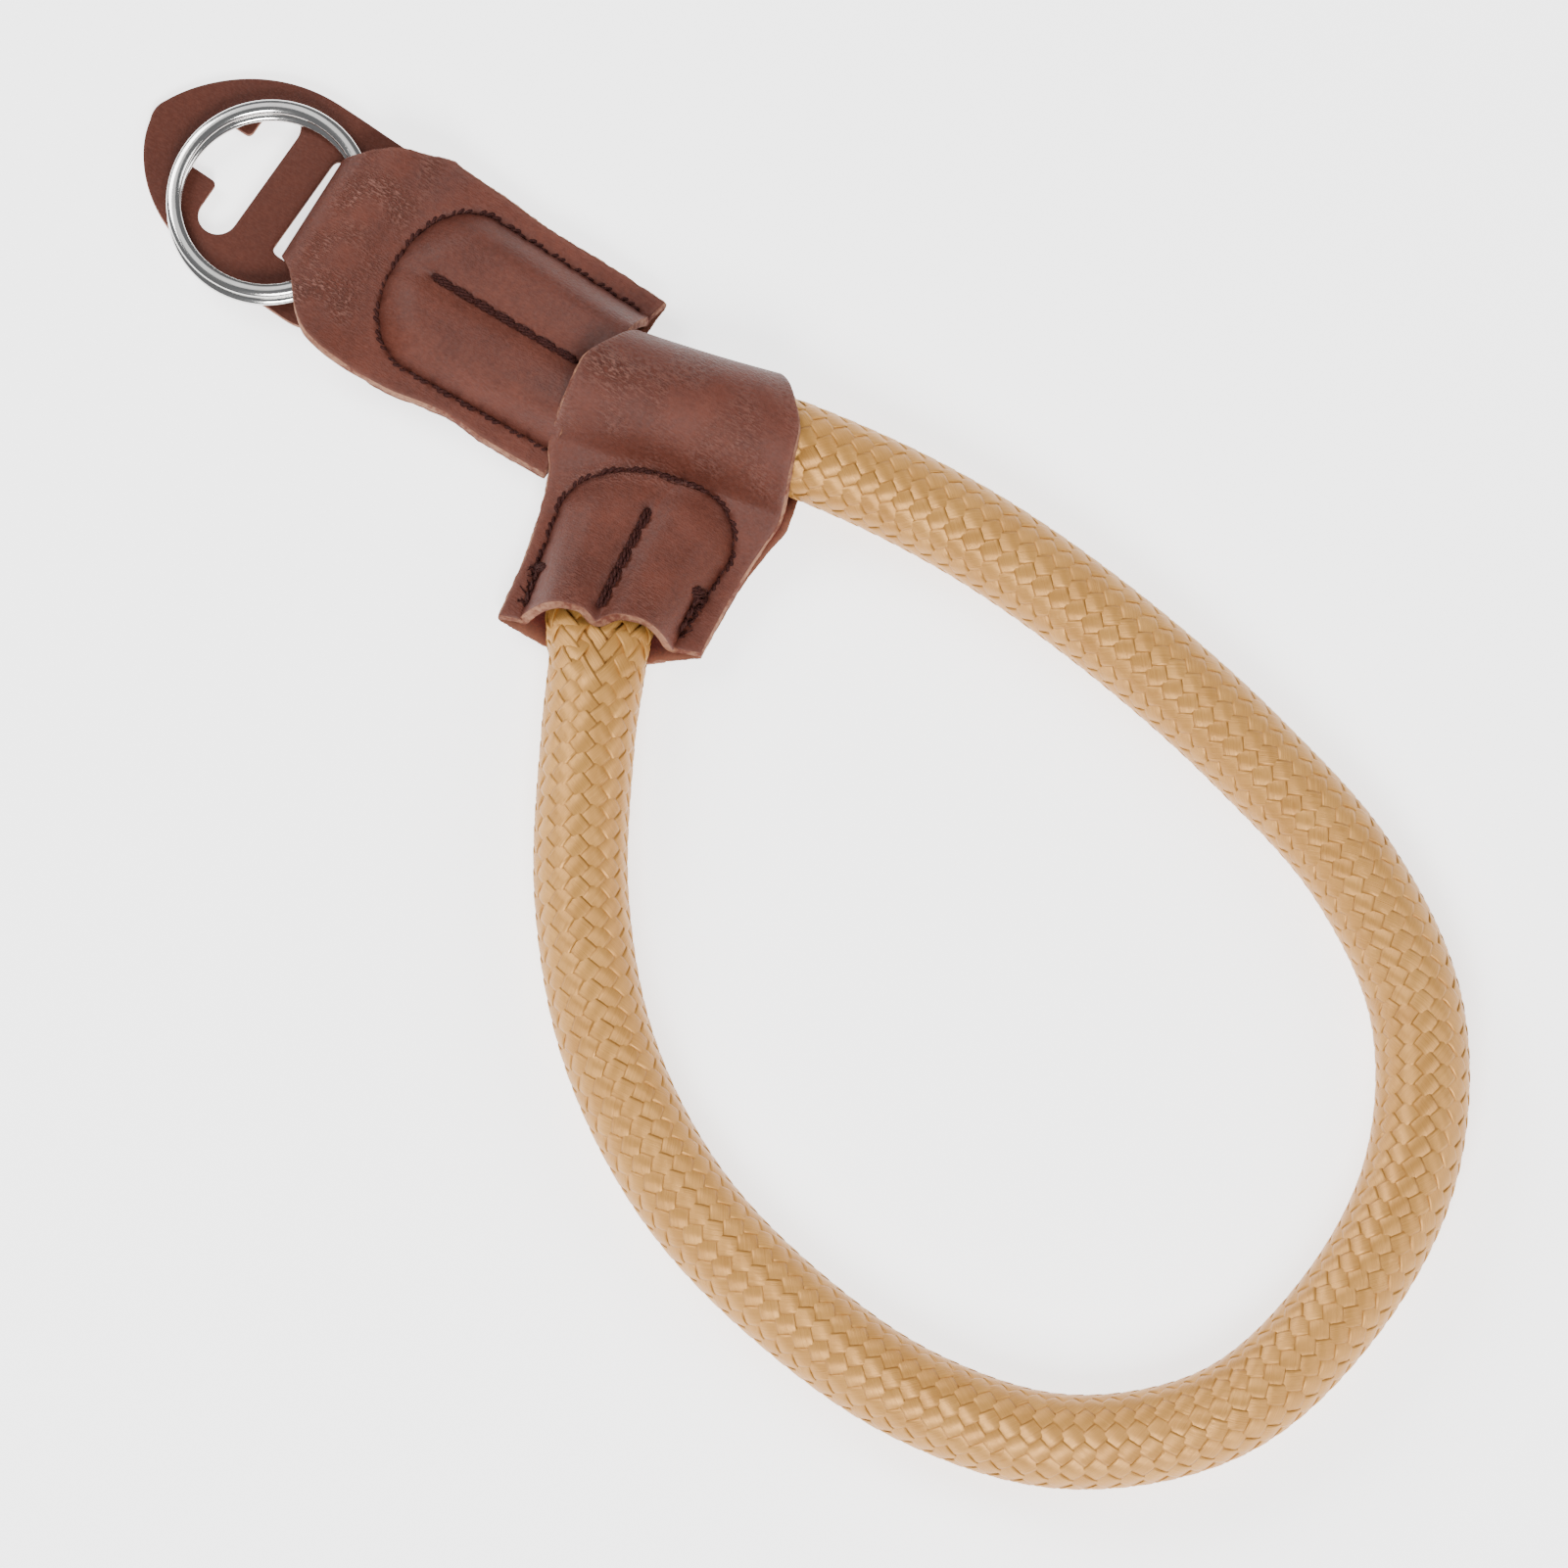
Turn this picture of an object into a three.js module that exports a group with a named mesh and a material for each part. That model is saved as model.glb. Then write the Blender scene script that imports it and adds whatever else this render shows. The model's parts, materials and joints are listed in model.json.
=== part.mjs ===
// Camera wrist strap: a loop of braided rope whose ends are sewn into two folded leather pieces,
// with a leather guard and a steel split ring at the camera end.
//
// Millimetres, +Z up, lying on a surface at z = 0. +X runs from the split ring along the leather
// tab towards the rope. The origin is under the middle of the tab's flat belly.

import * as THREE from 'three';
import { TessellateModifier } from 'three/addons/modifiers/TessellateModifier.js';

// ---------------------------------------------------------------- driving dimensions

const LEATHER = 1.2; // thickness of every leather piece
const GAP = 0.3; // clearance between pieces that touch on the real strap
const ROPE_DIAMETER = 11.5;

const FOLD_X = -28; // the tab's folded nose, where it passes through the guard
const HALF_LEATHER = LEATHER / 2;
const FLOOR_LEAF = HALF_LEATHER; // mid-surface height of a leaf lying on the surface

// The sewn margin of a folded piece: two leaves, one on the other, raised by the rope's bulge.
const LOWER_MARGIN = 2.0; // mid-surface height of the lower leaf
const UPPER_MARGIN = 3.6; // mid-surface height of the upper leaf
const BULGE_RUN = 5.5; // distance from the seam over which a leaf climbs onto the rope
const GROOVE_DEPTH = 0.8; // dent along the stitches in the middle of a pocket
const GROOVE_WIDTH = 2.5;

// ---------------------------------------------------------------- rope

// Route of the rope's centre line, with its width and height where leather presses it flat.
const ROPE_COLUMNS = ['x', 'y', 'z', 'width', 'height'];
const ROPE_ROUTE = [
  [-11, -0.2, 3.9, 12.5, 3.4],
  [-5, -0.2, 4.0, 16, 4.6],
  [3, -0.2, 4.1, 16, 4.8],
  [9, -0.3, 4.2, 14.5, 4.9],
  [13.6, -0.5, 4.75, 10.6, 5.3],
  [17, 0, 6.8, 10.9, 9.6],
  [22, 1.2, 7.25, 11.5, 11.5],
  [31, 3.1, 7.25, 11.5, 11.5],
  [39, 4.8, 7.2, 11.5, 11.5],
  [53, 6.9, 5.8, 11.5, 11.5],
  [67, 7.2, 5.8, 11.5, 11.5],
  [86, 5.4, 5.8, 11.5, 11.5],
  [105, 1.7, 5.8, 11.5, 11.5],
  [123.5, -4.2, 5.8, 11.5, 11.5],
  [139, -15, 5.8, 11.5, 11.5],
  [148.5, -32, 5.8, 11.5, 11.5],
  [150, -51, 5.8, 11.5, 11.5],
  [145, -69, 5.8, 11.5, 11.5],
  [131, -82, 5.8, 11.5, 11.5],
  [113, -86.8, 5.8, 11.5, 11.5],
  [94, -85.7, 5.8, 11.5, 11.5],
  [75.5, -80.6, 5.8, 11.5, 11.5],
  [59, -70.4, 5.8, 11.5, 11.5],
  [46, -56, 5.8, 11.5, 11.5],
  [36.3, -39, 5.8, 11.4, 11.3],
  [32.2, -30.2, 5.9, 11.4, 8.6],
  [29.4, -24.5, 4.6, 13.5, 6.0],
  [28.3, -17, 4.1, 15, 4.8],
  [27.8, -10.6, 3.9, 12.5, 3.6],
];
const ROPE_SIDES = 12;
const ROPE_STEPS = 78;

// ---------------------------------------------------------------- leather tab

const TAB_LENGTH = 42.8; // from the nose's fold line to the mouth
const TAB_MOUTH_DIP = { upper: 2.0, lower: 0.6 }; // how far each leaf draws back at the mouth
const TAB_MOUTH_SLANT = 1.3; // how much shorter the tab is along its low edge
const TAB_POCKET = { halfWidth: 10.4, apex: 13.3, corner: 9, bulge: 4.3, mouthBulge: 6.4 };
const NOSE_RADIUS = 3.05; // mid-surface, where the tab turns through the guard
const NOSE_X = 3.7;
const CREST_HEIGHT = 7.0; // mid-surface height of the upper leaf over the ring
const CREST_END = 8.7;
const LOWER_RISE = { from: 11.3, to: 14 }; // where the lower leaf lifts to meet the upper one

// Edges of the tab, x measured from the nose.
const TAB_EDGES = [
  { x: NOSE_X, low: -9.2, high: 9.0 },
  { x: 6.5, low: -12.1, high: 11.1 },
  { x: 9, low: -13.4, high: 12.3 },
  { x: 13, low: -14.0, high: 13.5 },
  { x: 20, low: -13.6, high: 13.4 },
  { x: 29, low: -12.7, high: 12.7 },
  { x: TAB_LENGTH, low: -12.9, high: 12.3 },
];
// Edges of the waist round the nose, by the angle above the nose's middle.
const NOSE_EDGES = [
  { angle: -90, low: -7.6, high: 7.6 },
  { angle: -60, low: -6.8, high: 6.5 },
  { angle: 0, low: -6.7, high: 5.6 },
  { angle: 60, low: -7.6, high: 5.6 },
  { angle: 90, low: -9.2, high: 8.4 },
];
const TAB_STATIONS = [
  TAB_LENGTH, 40, 36.8, 33, 29, 25, 22, 20, 18.3, 16.8, 15.3, 13.8, 12.4, 11, 9.8, 8.6, 7, 5.4,
];
const NOSE_ANGLES = [90, 67.5, 45, 22.5, 0, -22.5, -45, -67.5, -90];
const TAB_COLUMNS = 14;

// ---------------------------------------------------------------- leather guard

const GUARD_TURN = -3; // degrees, the guard sits a little askew on the tab
const GUARD_TIP = -21.9;
const GUARD_REAR = 10.6;
const GUARD_SIDE = { low: -12.9, high: 12.4 };
const GUARD_RAMP = { from: -18, to: -1 }; // it climbs from the surface onto the tab's lower leaf
const GUARD_RISE = LEATHER + GAP;
const GUARD_MAX_EDGE = 3.2;
const SLIT = { left: -0.9, right: 3.5, half: 7.6 };
const SLOT = { left: -10.4, right: -5.9, low: -9.2, high: 8.9 };
const NOTCH = { end: -15.4, half: 3.5, corner: 1.6 };

// ---------------------------------------------------------------- split ring

const RING_DIAMETER = 25;
const WIRE_WIDTH = 2.0; // across the ring's plane
const WIRE_HEIGHT = 1.0;
const COIL_PITCH = WIRE_HEIGHT + 0.15;
const COIL_SHIFT = 0.5; // each turn sits this far to one side of the ring's middle
const COIL_END = 12; // degrees from +X at which each end of the wire stops
const RING_CENTRE = { x: -3.9, y: -2.1, z: 2.8 };
const RING_TILT = 5; // degrees, it leans on the guard
const WIRE_SIDES = 8;
const COIL_STEPS_PER_TURN = 40;

// ---------------------------------------------------------------- leather keeper

const KEEPER_PLACE = { x: 26.3, y: 2.1, turn: 12 }; // its tunnel lies along the rope here
const TUNNEL_HEIGHT = 7.25; // height of the rope's centre in the tunnel
const TUNNEL_RADIUS = ROPE_DIAMETER / 2 + GAP + HALF_LEATHER;
const TUNNEL_FLARE = 0.8; // how far the tunnel stands wider at its end away from the tab
const TUNNEL_SEAM = -8.9; // y of the seam that closes the tunnel
const KEEPER_MOUTH = -29;
const MOUTH_SKEW = 0.127; // the mouth is cut at a slant
const UPPER_MOUTH_DIP = 1.5;
const LOWER_MOUTH_LIP = 2.3;
const KEEPER_POCKET = { halfWidth: 10.0, apex: TUNNEL_SEAM, corner: 6, bulge: 4.3, mouthBulge: 6.6 };
const POCKET_DRIFT = { at: -10, x: -1.1, slope: 0.1 }; // the pocket's middle line

const KEEPER_UPPER_EDGES = [
  { y: -29, left: -14.1, right: 10.3 },
  { y: -22, left: -13.5, right: 10.6 },
  { y: -17, left: -13.7, right: 11.1 },
  { y: -12, left: -14.1, right: 12.1 },
  { y: TUNNEL_SEAM, left: -14.5, right: 12.9 },
];
const KEEPER_LOWER_EDGES = [
  { y: -29, left: -13.7, right: 9.9 },
  { y: -18, left: -13.3, right: 11.9 },
  { y: -12.5, left: -13.5, right: 13.3 },
  { y: TUNNEL_SEAM, left: -13.4, right: 14.1 },
];
// Edges where the keeper wraps the rope, by the angle round the tunnel.
const KEEPER_WRAP = [
  { angle: -90, left: -11.7, right: 14.4 },
  { angle: -45, left: -10.6, right: 11.8 },
  { angle: 0, left: -9.9, right: 8.0 },
  { angle: 45, left: -12.0, right: 10.5 },
  { angle: 90, left: -14.4, right: 13.1 },
  { angle: 156, left: -14.8, right: 13.4 },
];
const POCKET_STATIONS = [-29, -26, -22.8, -19.5, -16.5, -14, -12, -10.3, TUNNEL_SEAM];
const WRAP_ANGLES = [156, 134, 112, 90, 67.5, 45, 22.5, 0, -22.5, -45, -67.5, -90];
const KEEPER_COLUMNS = 14;

// ---------------------------------------------------------------- small helpers

const radians = THREE.MathUtils.degToRad;
const { clamp, lerp, smoothstep } = THREE.MathUtils;

/** Straight-line value of a table's column at a key that lies between two of its rows. */
function lookUp(table, key, value, column) {
  const rows = [...table].sort((a, b) => a[key] - b[key]);
  const at = clamp(value, rows[0][key], rows.at(-1)[key]);
  const next = Math.max(1, rows.findIndex((row) => row[key] >= at));
  const [a, b] = [rows[next - 1], rows[next]];
  return lerp(a[column], b[column], (at - a[key]) / (b[key] - a[key]));
}

/** How far a leaf has climbed onto the rope, 0 at the seam and 1 on top, for a place in a pocket. */
function climb(pocket, across, along) {
  const sideways = Math.abs(across) - (pocket.halfWidth - pocket.corner);
  const inwards = pocket.corner - along;
  const outside = Math.hypot(Math.max(sideways, 0), Math.max(inwards, 0));
  const depth = pocket.corner - outside - Math.min(Math.max(sideways, inwards), 0);
  return Math.sin((Math.PI / 2) * clamp(depth / BULGE_RUN, 0, 1));
}

/** Height of the upper leaf over the rope's end, above its margin. */
function upperBulge(pocket, across, along, length) {
  const full = lerp(pocket.bulge, pocket.mouthBulge, clamp(along / length, 0, 1) ** 2);
  const onTop = climb(pocket, across, along);
  const groove = GROOVE_DEPTH * Math.exp(-((across / GROOVE_WIDTH) ** 2));
  return onTop * (full - groove);
}

/** Indexed geometry of one closed body, its faces turned outwards. */
function closedBody(points, triangles) {
  let volume = 0;
  for (const [a, b, c] of triangles) {
    volume += points[a].dot(points[b].clone().cross(points[c]));
  }
  const outward = volume > 0 ? triangles : triangles.map(([a, b, c]) => [a, c, b]);
  const geometry = new THREE.BufferGeometry().setFromPoints(points);
  geometry.setIndex(outward.flat());
  geometry.computeVertexNormals();
  return geometry;
}

/** Two triangles for each cell of a grid of vertex numbers. */
function gridTriangles(rows, columns, vertex) {
  const triangles = [];
  for (let row = 0; row < rows - 1; row += 1) {
    for (let column = 0; column < columns - 1; column += 1) {
      const [a, b] = [vertex(row, column), vertex(row, column + 1)];
      const [c, d] = [vertex(row + 1, column + 1), vertex(row + 1, column)];
      triangles.push([a, b, c], [a, c, d]);
    }
  }
  return triangles;
}

/** A leather leaf: a grid of mid-surface points given its thickness to both sides. */
function leatherSheet(grid) {
  const [rows, columns] = [grid.length, grid[0].length];
  const normalAt = (row, column) => {
    const along = grid[Math.min(row + 1, rows - 1)][column]
      .clone()
      .sub(grid[Math.max(row - 1, 0)][column]);
    const across = grid[row][Math.min(column + 1, columns - 1)]
      .clone()
      .sub(grid[row][Math.max(column - 1, 0)]);
    return along.cross(across).normalize().multiplyScalar(HALF_LEATHER);
  };
  const points = [];
  for (const side of [1, -1]) {
    grid.forEach((line, row) =>
      line.forEach((point, column) =>
        points.push(point.clone().addScaledVector(normalAt(row, column), side)),
      ),
    );
  }
  const top = (row, column) => row * columns + column;
  const bottom = (row, column) => rows * columns + top(row, column);
  const upper = gridTriangles(rows, columns, top);
  const lower = gridTriangles(rows, columns, bottom).map(([a, b, c]) => [a, c, b]);

  // The rim joins both sides round the whole edge of the grid.
  const rim = [];
  for (let column = 0; column < columns - 1; column += 1) rim.push([0, column]);
  for (let row = 0; row < rows - 1; row += 1) rim.push([row, columns - 1]);
  for (let column = columns - 1; column > 0; column -= 1) rim.push([rows - 1, column]);
  for (let row = rows - 1; row > 0; row -= 1) rim.push([row, 0]);
  const wall = rim.flatMap(([row, column], index) => {
    const [nextRow, nextColumn] = rim[(index + 1) % rim.length];
    const [a, b] = [top(row, column), top(nextRow, nextColumn)];
    const [c, d] = [bottom(nextRow, nextColumn), bottom(row, column)];
    return [[b, a, d], [b, d, c]];
  });
  return closedBody(points, [...upper, ...lower, ...wall]);
}

/** A bar lofted through rings of points, closed by a fan at each end. */
function loftedBar(rings) {
  const sides = rings[0].length;
  const vertex = (ring, side) => ring * sides + (side % sides);
  const triangles = gridTriangles(rings.length, sides + 1, vertex);
  const last = rings.length - 1;
  for (let side = 1; side < sides - 1; side += 1) {
    triangles.push([vertex(0, 0), vertex(0, side + 1), vertex(0, side)]);
    triangles.push([vertex(last, 0), vertex(last, side), vertex(last, side + 1)]);
  }
  return closedBody(rings.flat(), triangles);
}

/** A named mesh with a plain material of its own. */
function piece(name, geometry, color, roughness, metalness = 0) {
  const mesh = new THREE.Mesh(
    geometry,
    new THREE.MeshStandardMaterial({ color, roughness, metalness }),
  );
  mesh.name = name;
  return mesh;
}

// ---------------------------------------------------------------- rope

/** Centre, direction, width and height of the rope at each step of its tube. */
function ropeStations(route) {
  const stations = [];
  for (let step = 0; step <= ROPE_STEPS; step += 1) {
    const along = step / ROPE_STEPS;
    const place = route.getUtoTmapping(along) * (ROPE_ROUTE.length - 1);
    const index = Math.min(Math.floor(place), ROPE_ROUTE.length - 2);
    const at = (column) => {
      const number = ROPE_COLUMNS.indexOf(column);
      return lerp(ROPE_ROUTE[index][number], ROPE_ROUTE[index + 1][number], place - index);
    };
    stations.push({
      centre: route.getPointAt(along),
      direction: route.getTangentAt(along),
      width: at('width'),
      height: at('height'),
    });
  }
  return stations;
}

/** The braided rope: a round tube, pressed flat where the leather is sewn over its ends. */
function rope() {
  const route = new THREE.CatmullRomCurve3(
    ROPE_ROUTE.map(([x, y, z]) => new THREE.Vector3(x, y, z)),
  );
  const section = new THREE.Shape();
  const radius = ROPE_DIAMETER / 2;
  for (let side = 0; side < ROPE_SIDES; side += 1) {
    const angle = (2 * Math.PI * (side + 0.5)) / ROPE_SIDES;
    const [x, y] = [radius * Math.cos(angle), radius * Math.sin(angle)];
    if (side === 0) section.moveTo(x, y);
    else section.lineTo(x, y);
  }
  const tube = new THREE.ExtrudeGeometry(section, { steps: ROPE_STEPS, extrudePath: route });
  const stations = ropeStations(route);
  const corner = tube.attributes.position;
  for (let index = 0; index < corner.count; index += 1) {
    const point = new THREE.Vector3().fromBufferAttribute(corner, index);
    const misfit = ({ centre, direction }) => {
      const offset = point.clone().sub(centre);
      return Math.abs(offset.dot(direction)) + Math.abs(offset.length() - radius);
    };
    const station = stations.reduce((best, other) => (misfit(other) < misfit(best) ? other : best));
    const offset = point.sub(station.centre);
    const wider = station.width / ROPE_DIAMETER;
    const flatter = station.height / ROPE_DIAMETER;
    offset.multiply(new THREE.Vector3(wider, wider, flatter)).add(station.centre);
    corner.setXYZ(index, offset.x, offset.y, offset.z);
  }
  return piece('rope', tube, 0xc8a578, 0.6);
}

// ---------------------------------------------------------------- tab

/** Mid-surface height of the tab's upper leaf. */
function tabUpper(x, y) {
  const overRing = lerp(NOSE_RADIUS * 2 + FLOOR_LEAF, CREST_HEIGHT, smoothstep(x, NOSE_X, 7));
  const ridge = lerp(overRing, UPPER_MARGIN, smoothstep(x, CREST_END, TAB_POCKET.apex));
  const along = x - TAB_POCKET.apex;
  return ridge + upperBulge(TAB_POCKET, y, along, TAB_LENGTH - TAB_POCKET.apex);
}

/** Mid-surface height of the tab's lower leaf. */
function tabLower(x, y) {
  const lift = smoothstep(x, LOWER_RISE.from, LOWER_RISE.to);
  const belly = climb(TAB_POCKET, y, x - TAB_POCKET.apex);
  return lerp(FLOOR_LEAF, LOWER_MARGIN, lift * (1 - belly));
}

/** One strip of leather, folded through the guard and sewn over the rope's first end. */
function tab() {
  const line = (low, high, place) =>
    Array.from({ length: TAB_COLUMNS + 1 }, (_, column) =>
      place(lerp(low, high, column / TAB_COLUMNS)),
    );
  const leaf = (x, height, dip) => {
    const [low, high] = ['low', 'high'].map((edge) => lookUp(TAB_EDGES, 'x', x, edge));
    return line(low, high, (y) => {
      const arch = dip * Math.max(1 - (y / high) ** 2, 0);
      const slant = TAB_MOUTH_SLANT * clamp(y / low, 0, 1);
      return new THREE.Vector3(x - (arch + slant) * (x / TAB_LENGTH) ** 6, y, height(x, y));
    });
  };
  const nose = NOSE_ANGLES.map((angle) => {
    const [low, high] = ['low', 'high'].map((edge) => lookUp(NOSE_EDGES, 'angle', angle, edge));
    const x = NOSE_X - NOSE_RADIUS * Math.cos(radians(angle));
    const z = FLOOR_LEAF + NOSE_RADIUS * (1 + Math.sin(radians(angle)));
    return line(low, high, (y) => new THREE.Vector3(x, y, z));
  });
  const upper = TAB_STATIONS.map((x) => leaf(x, tabUpper, TAB_MOUTH_DIP.upper));
  const lower = [...TAB_STATIONS].reverse().map((x) => leaf(x, tabLower, TAB_MOUTH_DIP.lower));
  return piece('leather_tab', leatherSheet([...upper, ...nose, ...lower]), 0x734134, 0.55);
}

// ---------------------------------------------------------------- guard

/** Outline of the guard with its slit for the tab and its slot for the camera's eyelet. */
function guardShape() {
  const { low, high } = GUARD_SIDE;
  const rear = GUARD_REAR;
  const shape = new THREE.Shape();
  shape.moveTo(rear, low + 5);
  shape.lineTo(rear, high - 5);
  shape.quadraticCurveTo(rear, high, rear - 5, high);
  shape.lineTo(-4, high);
  shape.bezierCurveTo(-13, high, -19.0, 6.1, GUARD_TIP + 0.5, 1.4);
  shape.quadraticCurveTo(GUARD_TIP - 0.3, 0, GUARD_TIP + 0.4, -1.6);
  shape.bezierCurveTo(-20.7, -7.5, -13.8, low, -4, low);
  shape.lineTo(rear - 5, low);
  shape.quadraticCurveTo(rear, low, rear, low + 5);

  const slit = new THREE.Path();
  slit.moveTo(SLIT.left, -SLIT.half);
  slit.lineTo(SLIT.left, SLIT.half);
  slit.lineTo(SLIT.right, SLIT.half);
  slit.lineTo(SLIT.right, -SLIT.half);
  slit.closePath();

  const end = (SLOT.right - SLOT.left) / 2;
  const middle = (SLOT.right + SLOT.left) / 2;
  const slot = new THREE.Path();
  slot.moveTo(SLOT.right, SLOT.low + end);
  slot.lineTo(SLOT.right, SLOT.high - end);
  slot.absarc(middle, SLOT.high - end, end, 0, Math.PI, false);
  slot.lineTo(SLOT.left, NOTCH.half);
  slot.lineTo(NOTCH.end + NOTCH.corner, NOTCH.half);
  slot.quadraticCurveTo(NOTCH.end, NOTCH.half, NOTCH.end, NOTCH.half - NOTCH.corner);
  slot.lineTo(NOTCH.end, -NOTCH.half + NOTCH.corner);
  slot.quadraticCurveTo(NOTCH.end, -NOTCH.half, NOTCH.end + NOTCH.corner, -NOTCH.half);
  slot.lineTo(SLOT.left, -NOTCH.half);
  slot.lineTo(SLOT.left, SLOT.low + end);
  slot.absarc(middle, SLOT.low + end, end, Math.PI, 2 * Math.PI, false);

  shape.holes.push(slit, slot);
  return shape;
}

/** The flat guard, lying on the surface at its tip and on the tab's lower leaf at its rear. */
function guard() {
  const flat = new THREE.ExtrudeGeometry(guardShape(), {
    depth: LEATHER,
    bevelEnabled: false,
    curveSegments: 6,
  });
  const bent = new TessellateModifier(GUARD_MAX_EDGE, 12).modify(flat);
  const corner = bent.attributes.position;
  for (let index = 0; index < corner.count; index += 1) {
    const ramp = (corner.getX(index) - GUARD_RAMP.from) / (GUARD_RAMP.to - GUARD_RAMP.from);
    corner.setZ(index, corner.getZ(index) + GUARD_RISE * clamp(ramp, 0, 1));
  }
  const mesh = piece('leather_guard', bent, 0x6e3f33, 0.6);
  mesh.rotation.z = radians(GUARD_TURN);
  return mesh;
}

// ---------------------------------------------------------------- split ring

/** The wire's place in the coil: one flat turn, a short climb, and a second flat turn. */
function coilRing(step, steps) {
  const [start, end] = [COIL_END, 720 - COIL_END];
  const degrees = lerp(start, end, step / steps);
  const climbed = smoothstep(degrees, 360 - COIL_END, 360 + COIL_END);
  const angle = radians(degrees);
  const middle = (RING_DIAMETER - WIRE_WIDTH) / 2;
  const shift = lerp(-COIL_SHIFT, COIL_SHIFT, climbed);
  return Array.from({ length: WIRE_SIDES }, (_, side) => {
    const turn = (2 * Math.PI * (side + 0.5)) / WIRE_SIDES;
    const out = middle + (WIRE_WIDTH / 2) * Math.cos(turn) * 1.05;
    const up = (WIRE_HEIGHT / 2) * (1 + Math.sin(turn) * 1.05);
    return new THREE.Vector3(
      out * Math.cos(angle),
      out * Math.sin(angle) + shift,
      up + COIL_PITCH * climbed,
    );
  });
}

/** The steel split ring: two turns of flattened wire. */
function splitRing() {
  const steps = 2 * COIL_STEPS_PER_TURN;
  const rings = Array.from({ length: steps + 1 }, (_, step) => coilRing(step, steps));
  const mesh = piece('split_ring', loftedBar(rings), 0xb9b7b3, 0.22, 1);
  mesh.position.set(RING_CENTRE.x, RING_CENTRE.y, RING_CENTRE.z);
  mesh.rotation.y = -radians(RING_TILT);
  return mesh;
}

// ---------------------------------------------------------------- keeper

/** Height of a keeper leaf over or under the rope's second end. */
function keeperHeight(isUpper, x, y) {
  const across = x - (POCKET_DRIFT.x + POCKET_DRIFT.slope * (y - POCKET_DRIFT.at));
  const along = TUNNEL_SEAM - y;
  if (isUpper) {
    return UPPER_MARGIN + upperBulge(KEEPER_POCKET, across, along, TUNNEL_SEAM - KEEPER_MOUTH);
  }
  return lerp(LOWER_MARGIN, FLOOR_LEAF, climb(KEEPER_POCKET, across, along));
}

/** One row of keeper points across a pocket leaf. */
function keeperLeafRow(isUpper, y) {
  const edges = isUpper ? KEEPER_UPPER_EDGES : KEEPER_LOWER_EDGES;
  const [left, right] = ['left', 'right'].map((side) => lookUp(edges, 'y', y, side));
  const towardsMouth = clamp((TUNNEL_SEAM - y) / (TUNNEL_SEAM - KEEPER_MOUTH), 0, 1);
  return Array.from({ length: KEEPER_COLUMNS + 1 }, (_, column) => {
    const share = column / KEEPER_COLUMNS;
    const x = lerp(left, right, share);
    const arch = (1 - (2 * share - 1) ** 2) * towardsMouth ** 5;
    const drawn = isUpper ? UPPER_MOUTH_DIP * arch : -LOWER_MOUTH_LIP * arch;
    const slant = MOUTH_SKEW * (x - (left + right) / 2) * towardsMouth ** 2;
    const place = y + drawn + slant;
    return new THREE.Vector3(x, place, keeperHeight(isUpper, x, place));
  });
}

/** One strip of leather, wrapped round the passing rope and sewn over the rope's second end. */
function keeper() {
  const wrap = WRAP_ANGLES.map((angle) => {
    const [left, right] = ['left', 'right'].map((side) => lookUp(KEEPER_WRAP, 'angle', angle, side));
    const outward = Math.cos(radians(angle));
    const z = TUNNEL_HEIGHT + TUNNEL_RADIUS * Math.sin(radians(angle));
    return Array.from({ length: KEEPER_COLUMNS + 1 }, (_, column) => {
      const share = column / KEEPER_COLUMNS;
      const flare = TUNNEL_FLARE * Math.max(outward, 0) * share ** 2;
      return new THREE.Vector3(lerp(left, right, share), TUNNEL_RADIUS * outward + flare, z);
    });
  });
  const upper = POCKET_STATIONS.map((y) => keeperLeafRow(true, y));
  const lower = [...POCKET_STATIONS].reverse().map((y) => keeperLeafRow(false, y));
  const mesh = piece('leather_keeper', leatherSheet([...upper, ...wrap, ...lower]), 0x784436, 0.5);
  mesh.position.set(KEEPER_PLACE.x, KEEPER_PLACE.y, 0);
  mesh.rotation.z = radians(KEEPER_PLACE.turn);
  return mesh;
}

// ---------------------------------------------------------------- assembly

const cameraEnd = new THREE.Group();
cameraEnd.position.x = FOLD_X;
cameraEnd.add(tab(), guard(), splitRing());

const strap = new THREE.Group();
strap.add(rope(), cameraEnd, keeper());

export default strap;
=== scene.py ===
"""A camera wrist strap: a loop of braided rope sewn into two folded leather pieces, with a leather
guard and a steel split ring.

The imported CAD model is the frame. Shapes are worked out in millimetres, in the frame of the CAD
model, and turned into metres as each mesh is made. The tab and guard have their own frame, whose
x is measured from the tab's folded nose. The keeper has one whose x runs along the rope that it
wraps.
"""

import json
import logging
import math
from collections.abc import Callable
from dataclasses import dataclass
from enum import Enum
from typing import Union

import bpy
import numpy as np
from mathutils import Matrix, Vector


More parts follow.
